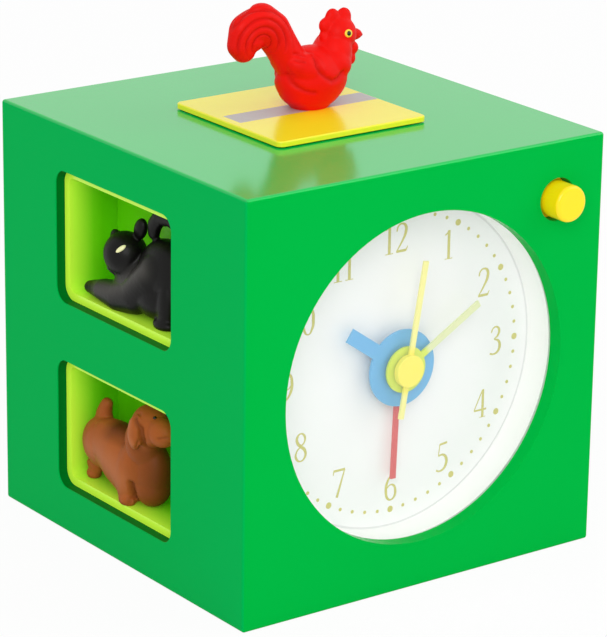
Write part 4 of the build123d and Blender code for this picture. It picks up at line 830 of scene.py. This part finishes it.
def bead(name, skin, spot, reach, turn, figure, finish):
    place, normal = skin.find_nearest(Vector(spot) * mm)[:2]
    stand = normal.to_track_quat("Z", "Y").to_matrix().to_4x4()
    spin = Matrix.Rotation(math.radians(turn), 4, "Z")
    stretch = Matrix.Diagonal((*(Vector(reach) * mm), 1))
    shape = bmesh.new()
    bmesh.ops.create_uvsphere(
        shape, u_segments=beadSides, v_segments=beadSides // 2, radius=1,
        matrix=Matrix.Translation(place) @ stand @ spin @ stretch,
    )
    newPiece(name, shape, figure["body"], figure["slot"], finish)


look = eyes["roosterEye"]
for side, name in ((-1, "Near"), (1, "Far")):
    spot = Vector(look["spot"]) + Vector((0, side * look["aside"], 0))
    bead("roosterEye" + name, roosterSkin, spot, look["reach"], 0, rooster, eyeYellow)
    bead("roosterPupil" + name, roosterSkin, spot, look["pupil"], 0, rooster, eyeBlack)
for name, skin, figure, finish in (
    ("catEyeNear", catSkin, cat, eyePale), ("catEyeFar", catSkin, cat, eyePale),
    ("dogEyeNear", dogSkin, dog, eyeBlack), ("dogEyeFar", dogSkin, dog, eyeBlack),
    ("catNose", catSkin, cat, eyeBlack), ("dogNose", dogSkin, dog, eyeBlack),
):
    look = eyes[name]
    bead(name, skin, look["spot"], look["reach"], look["turn"], figure, finish)
print("eyes and noses set")


# The button's spring, as a piece with a mesh of its own; it does not shorten here

def springPiece():
    press = next(joint for joint in record["behaviour"]["joints"] if joint["name"] == "button_press")
    fixedEnd = press["deforming_nodes"][0]["fixed_end_y_m"]
    node = frame["nodes"]["button_spring"]
    mesh = node.data.copy()
    mesh.transform(node.matrix_world)
    low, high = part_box("button_spring")
    piece = meshPiece("buttonSpring", mesh, "case", "contact_steel")
    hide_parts("button_spring")
    length = fixedEnd - low.y
    (length - press["range_m"][1]) / length
    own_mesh(piece)


springPiece()


# Hands whose bars are slimmer than their solids

slimHands = {
    "minuteHand": {
        "node": "minute_hand", "body": "minute", "slot": "minute_lime", "hub": 6.0 * mm, "share": 0.72,
    },
    "alarmHand": {"node": "alarm_hand", "body": "alarm", "slot": "alarm_red", "hub": 3.6 * mm, "share": 0.8},
}
tipShare = 0.98  # what lies further out than this share of the reach is the tip
hubShare = 0.9  # the bar's own points lie further out than this share of the hub
barSlack = 1.01
mergeGap = 0.001 * mm


def slimHand(name, hand):
    node = frame["nodes"][hand["node"]]
    shape = bmesh.new()
    shape.from_mesh(node.data)
    bmesh.ops.transform(shape, matrix=node.matrix_world, verts=shape.verts)
    bmesh.ops.remove_doubles(shape, verts=shape.verts, dist=mergeGap)
    arms = [Vector((vert.co.x - dialCentre.x, 0, vert.co.z - dialCentre.z)) for vert in shape.verts]
    reach = max(arm.length for arm in arms)
    tips = [arm for arm in arms if arm.length > reach * tipShare]
    ahead = sum(tips, Vector()).normalized()
    side = Vector((ahead.z, 0, -ahead.x))
    half = max(abs(arm.dot(side)) for arm in tips) * barSlack
    for vert, arm in zip(shape.verts, arms):
        off = arm.dot(side)
        if arm.dot(ahead) > hand["hub"] * hubShare and abs(off) < half:
            vert.co -= side * off * (1 - hand["share"])
    piece = newPiece(name, shape, hand["body"], hand["slot"], smooth=False)
    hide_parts(hand["node"])


for name, hand in slimHands.items():
    slimHand(name, hand)
print("hands slimmed")


# Print on the back

backPrint = {
    "height": 2.6 * mm, "thickness": 0.03 * mm,
    "aboveKnob": 9.4 * mm, "aboveSwitch": 5.2 * mm, "apart": 4.4 * mm,
    "arrow": 2.2 * mm, "arrowDown": 10.5 * mm,
}
printGrey = moulded("printGrey", tint(182, 184, 186), mattLook)
fromBehind = Matrix(((-1, 0, 0, 0), (0, 0, 1, 0), (0, 1, 0, 0), (0, 0, 0, 1)))  # stands flat print up


def label(name, words, across, up, face):
    curve = bpy.data.curves.new(name, "FONT")
    curve.body = words
    curve.size = backPrint["height"]
    curve.align_x = "CENTER"
    curve.align_y = "CENTER"
    curve.extrude = backPrint["thickness"]
    holder = bpy.data.objects.new(name, curve)
    scene.collection.objects.link(holder)
    bpy.context.view_layer.update()
    mesh = settled(holder)
    bpy.data.objects.remove(holder)
    mesh.transform(Matrix.Translation((across, face, up)) @ fromBehind)
    meshPiece(name, mesh, "case", "back_black", printGrey, smooth=False)


def printBack():
    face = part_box("back_panel")[1].y
    for name, words, node in (
        ("timeLabel", "TIME", "time_set_knob"), ("alarmLabel", "ALARM", "alarm_set_knob"),
    ):
        low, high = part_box(node)
        label(name, words, (low.x + high.x) / 2, (low.z + high.z) / 2 + backPrint["aboveKnob"], face)
    low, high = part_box("alarm_switch_slider")
    middle = (low.x + high.x) / 2
    for name, words, side in (("offLabel", "OFF", 1), ("onLabel", "ON", -1)):
        label(name, words, middle + side * backPrint["apart"], high.z + backPrint["aboveSwitch"], face)
    low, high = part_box("battery_door")
    shape = bmesh.new()
    bmesh.ops.create_cone(
        shape, cap_ends=True, segments=3, radius1=backPrint["arrow"], radius2=backPrint["arrow"],
        depth=backPrint["thickness"] * 2, matrix=Matrix.Rotation(math.radians(180), 4, "Z"),
    )
    place = Matrix.Translation(((low.x + high.x) / 2, high.y, high.z - backPrint["arrowDown"]))
    bmesh.ops.transform(shape, matrix=place @ fromBehind, verts=shape.verts)
    newPiece("doorArrow", shape, "door", "back_black", printGrey, smooth=False)


printBack()
print("back printed")


# Camera, floor and light

shot = {
    "place": (-496.0 * mm, -677.9 * mm, 336.9 * mm),
    "towards": (0.5616, 0.7640, -0.3177),
    "roll": math.radians(0.83),
    "lens": 192.9,
    "sensor": 36,
    "near": 0.05,
    "far": 20,
}


def setCamera():
    data = bpy.data.cameras.new("camera")
    data.lens = shot["lens"]
    data.sensor_width = shot["sensor"]
    data.clip_start = shot["near"]
    data.clip_end = shot["far"]
    camera = bpy.data.objects.new("camera", data)
    scene.collection.objects.link(camera)
    ahead = Vector(shot["towards"]).normalized()
    across = ahead.cross(Vector((0, 0, 1))).normalized()
    up = across.cross(ahead)
    level = across * math.cos(shot["roll"]) + up * math.sin(shot["roll"])
    turned = Matrix((level, level.cross(ahead), -ahead)).transposed().to_4x4()
    camera.matrix_world = Matrix.Translation(shot["place"]) @ turned
    scene.camera = camera


light = {  # lamps: power, size and place
    "world": 0.66,
    "key": (7.8, 0.8, (-0.75, -1.02, 0.8)),
    "fill": (3, 0.9, (0.9, -0.6, 0.7)),
    "aim": (0, 0, 0.06),
    "floorTone": 0.9,
    "floorWhite": 0.95,
    "floorSize": 6,
}


def setLight():
    for name in ("key", "fill"):
        power, size, place = light[name]
        data = bpy.data.lights.new(name, "AREA")
        data.energy = power
        data.size = size
        lamp = bpy.data.objects.new(name, data)
        scene.collection.objects.link(lamp)
        aim = Vector(light["aim"]) - Vector(place)
        lamp.matrix_world = Matrix.Translation(place) @ aim.to_track_quat("-Z", "Y").to_matrix().to_4x4()
    world = bpy.data.worlds.new("room")
    scene.world = world
    world.use_nodes = True
    tree = world.node_tree
    path = tree.nodes.new("ShaderNodeLightPath")
    seen = tree.nodes.new("ShaderNodeMath")
    seen.operation = "MAXIMUM"
    tree.links.new(path.outputs["Is Camera Ray"], seen.inputs[0])
    tree.links.new(path.outputs["Is Glossy Ray"], seen.inputs[1])
    through = tree.nodes.new("ShaderNodeMath")
    through.operation = "MAXIMUM"
    tree.links.new(seen.outputs[0], through.inputs[0])
    tree.links.new(path.outputs["Is Transmission Ray"], through.inputs[1])
    strength = tree.nodes.new("ShaderNodeMapRange")
    strength.inputs["To Min"].default_value = light["world"]
    strength.inputs["To Max"].default_value = 1
    tree.links.new(through.outputs[0], strength.inputs["Value"])
    background = tree.nodes["Background"]
    background.inputs["Color"].default_value = (1, 1, 1, 1)
    tree.links.new(strength.outputs[0], background.inputs["Strength"])


def setFloor():
    shape = bmesh.new()
    bmesh.ops.create_grid(shape, x_segments=2, y_segments=2, size=light["floorSize"])
    mesh = bpy.data.meshes.new("floor")
    shape.to_mesh(mesh)
    shape.free()
    floor = bpy.data.objects.new("floor", mesh)
    scene.collection.objects.link(floor)
    finish = Finish("floorWhite")
    tone = light["floorTone"]
    diffuse = finish.node("ShaderNodeBsdfDiffuse", None, {"Color": (tone, tone, tone, 1)})
    white = finish.node("ShaderNodeEmission", None, {"Color": (1, 1, 1, 1), "Strength": 1.0})
    camera = finish.node("ShaderNodeLightPath", out="Is Camera Ray")
    glossy = finish.node("ShaderNodeLightPath", out="Is Glossy Ray")
    clear = finish.node("ShaderNodeLightPath", out="Is Transmission Ray")
    seen = (camera + glossy + clear).above(0.5) * light["floorWhite"]
    mixed = finish.node("ShaderNodeMixShader", None, {0: seen, 1: diffuse, 2: white})
    output = finish.tree.nodes["Material Output"]
    finish.tree.links.new(mixed.socket, output.inputs["Surface"])
    mesh.materials.append(finish.material)


setCamera()
setLight()
setFloor()
print("camera, light and floor set")
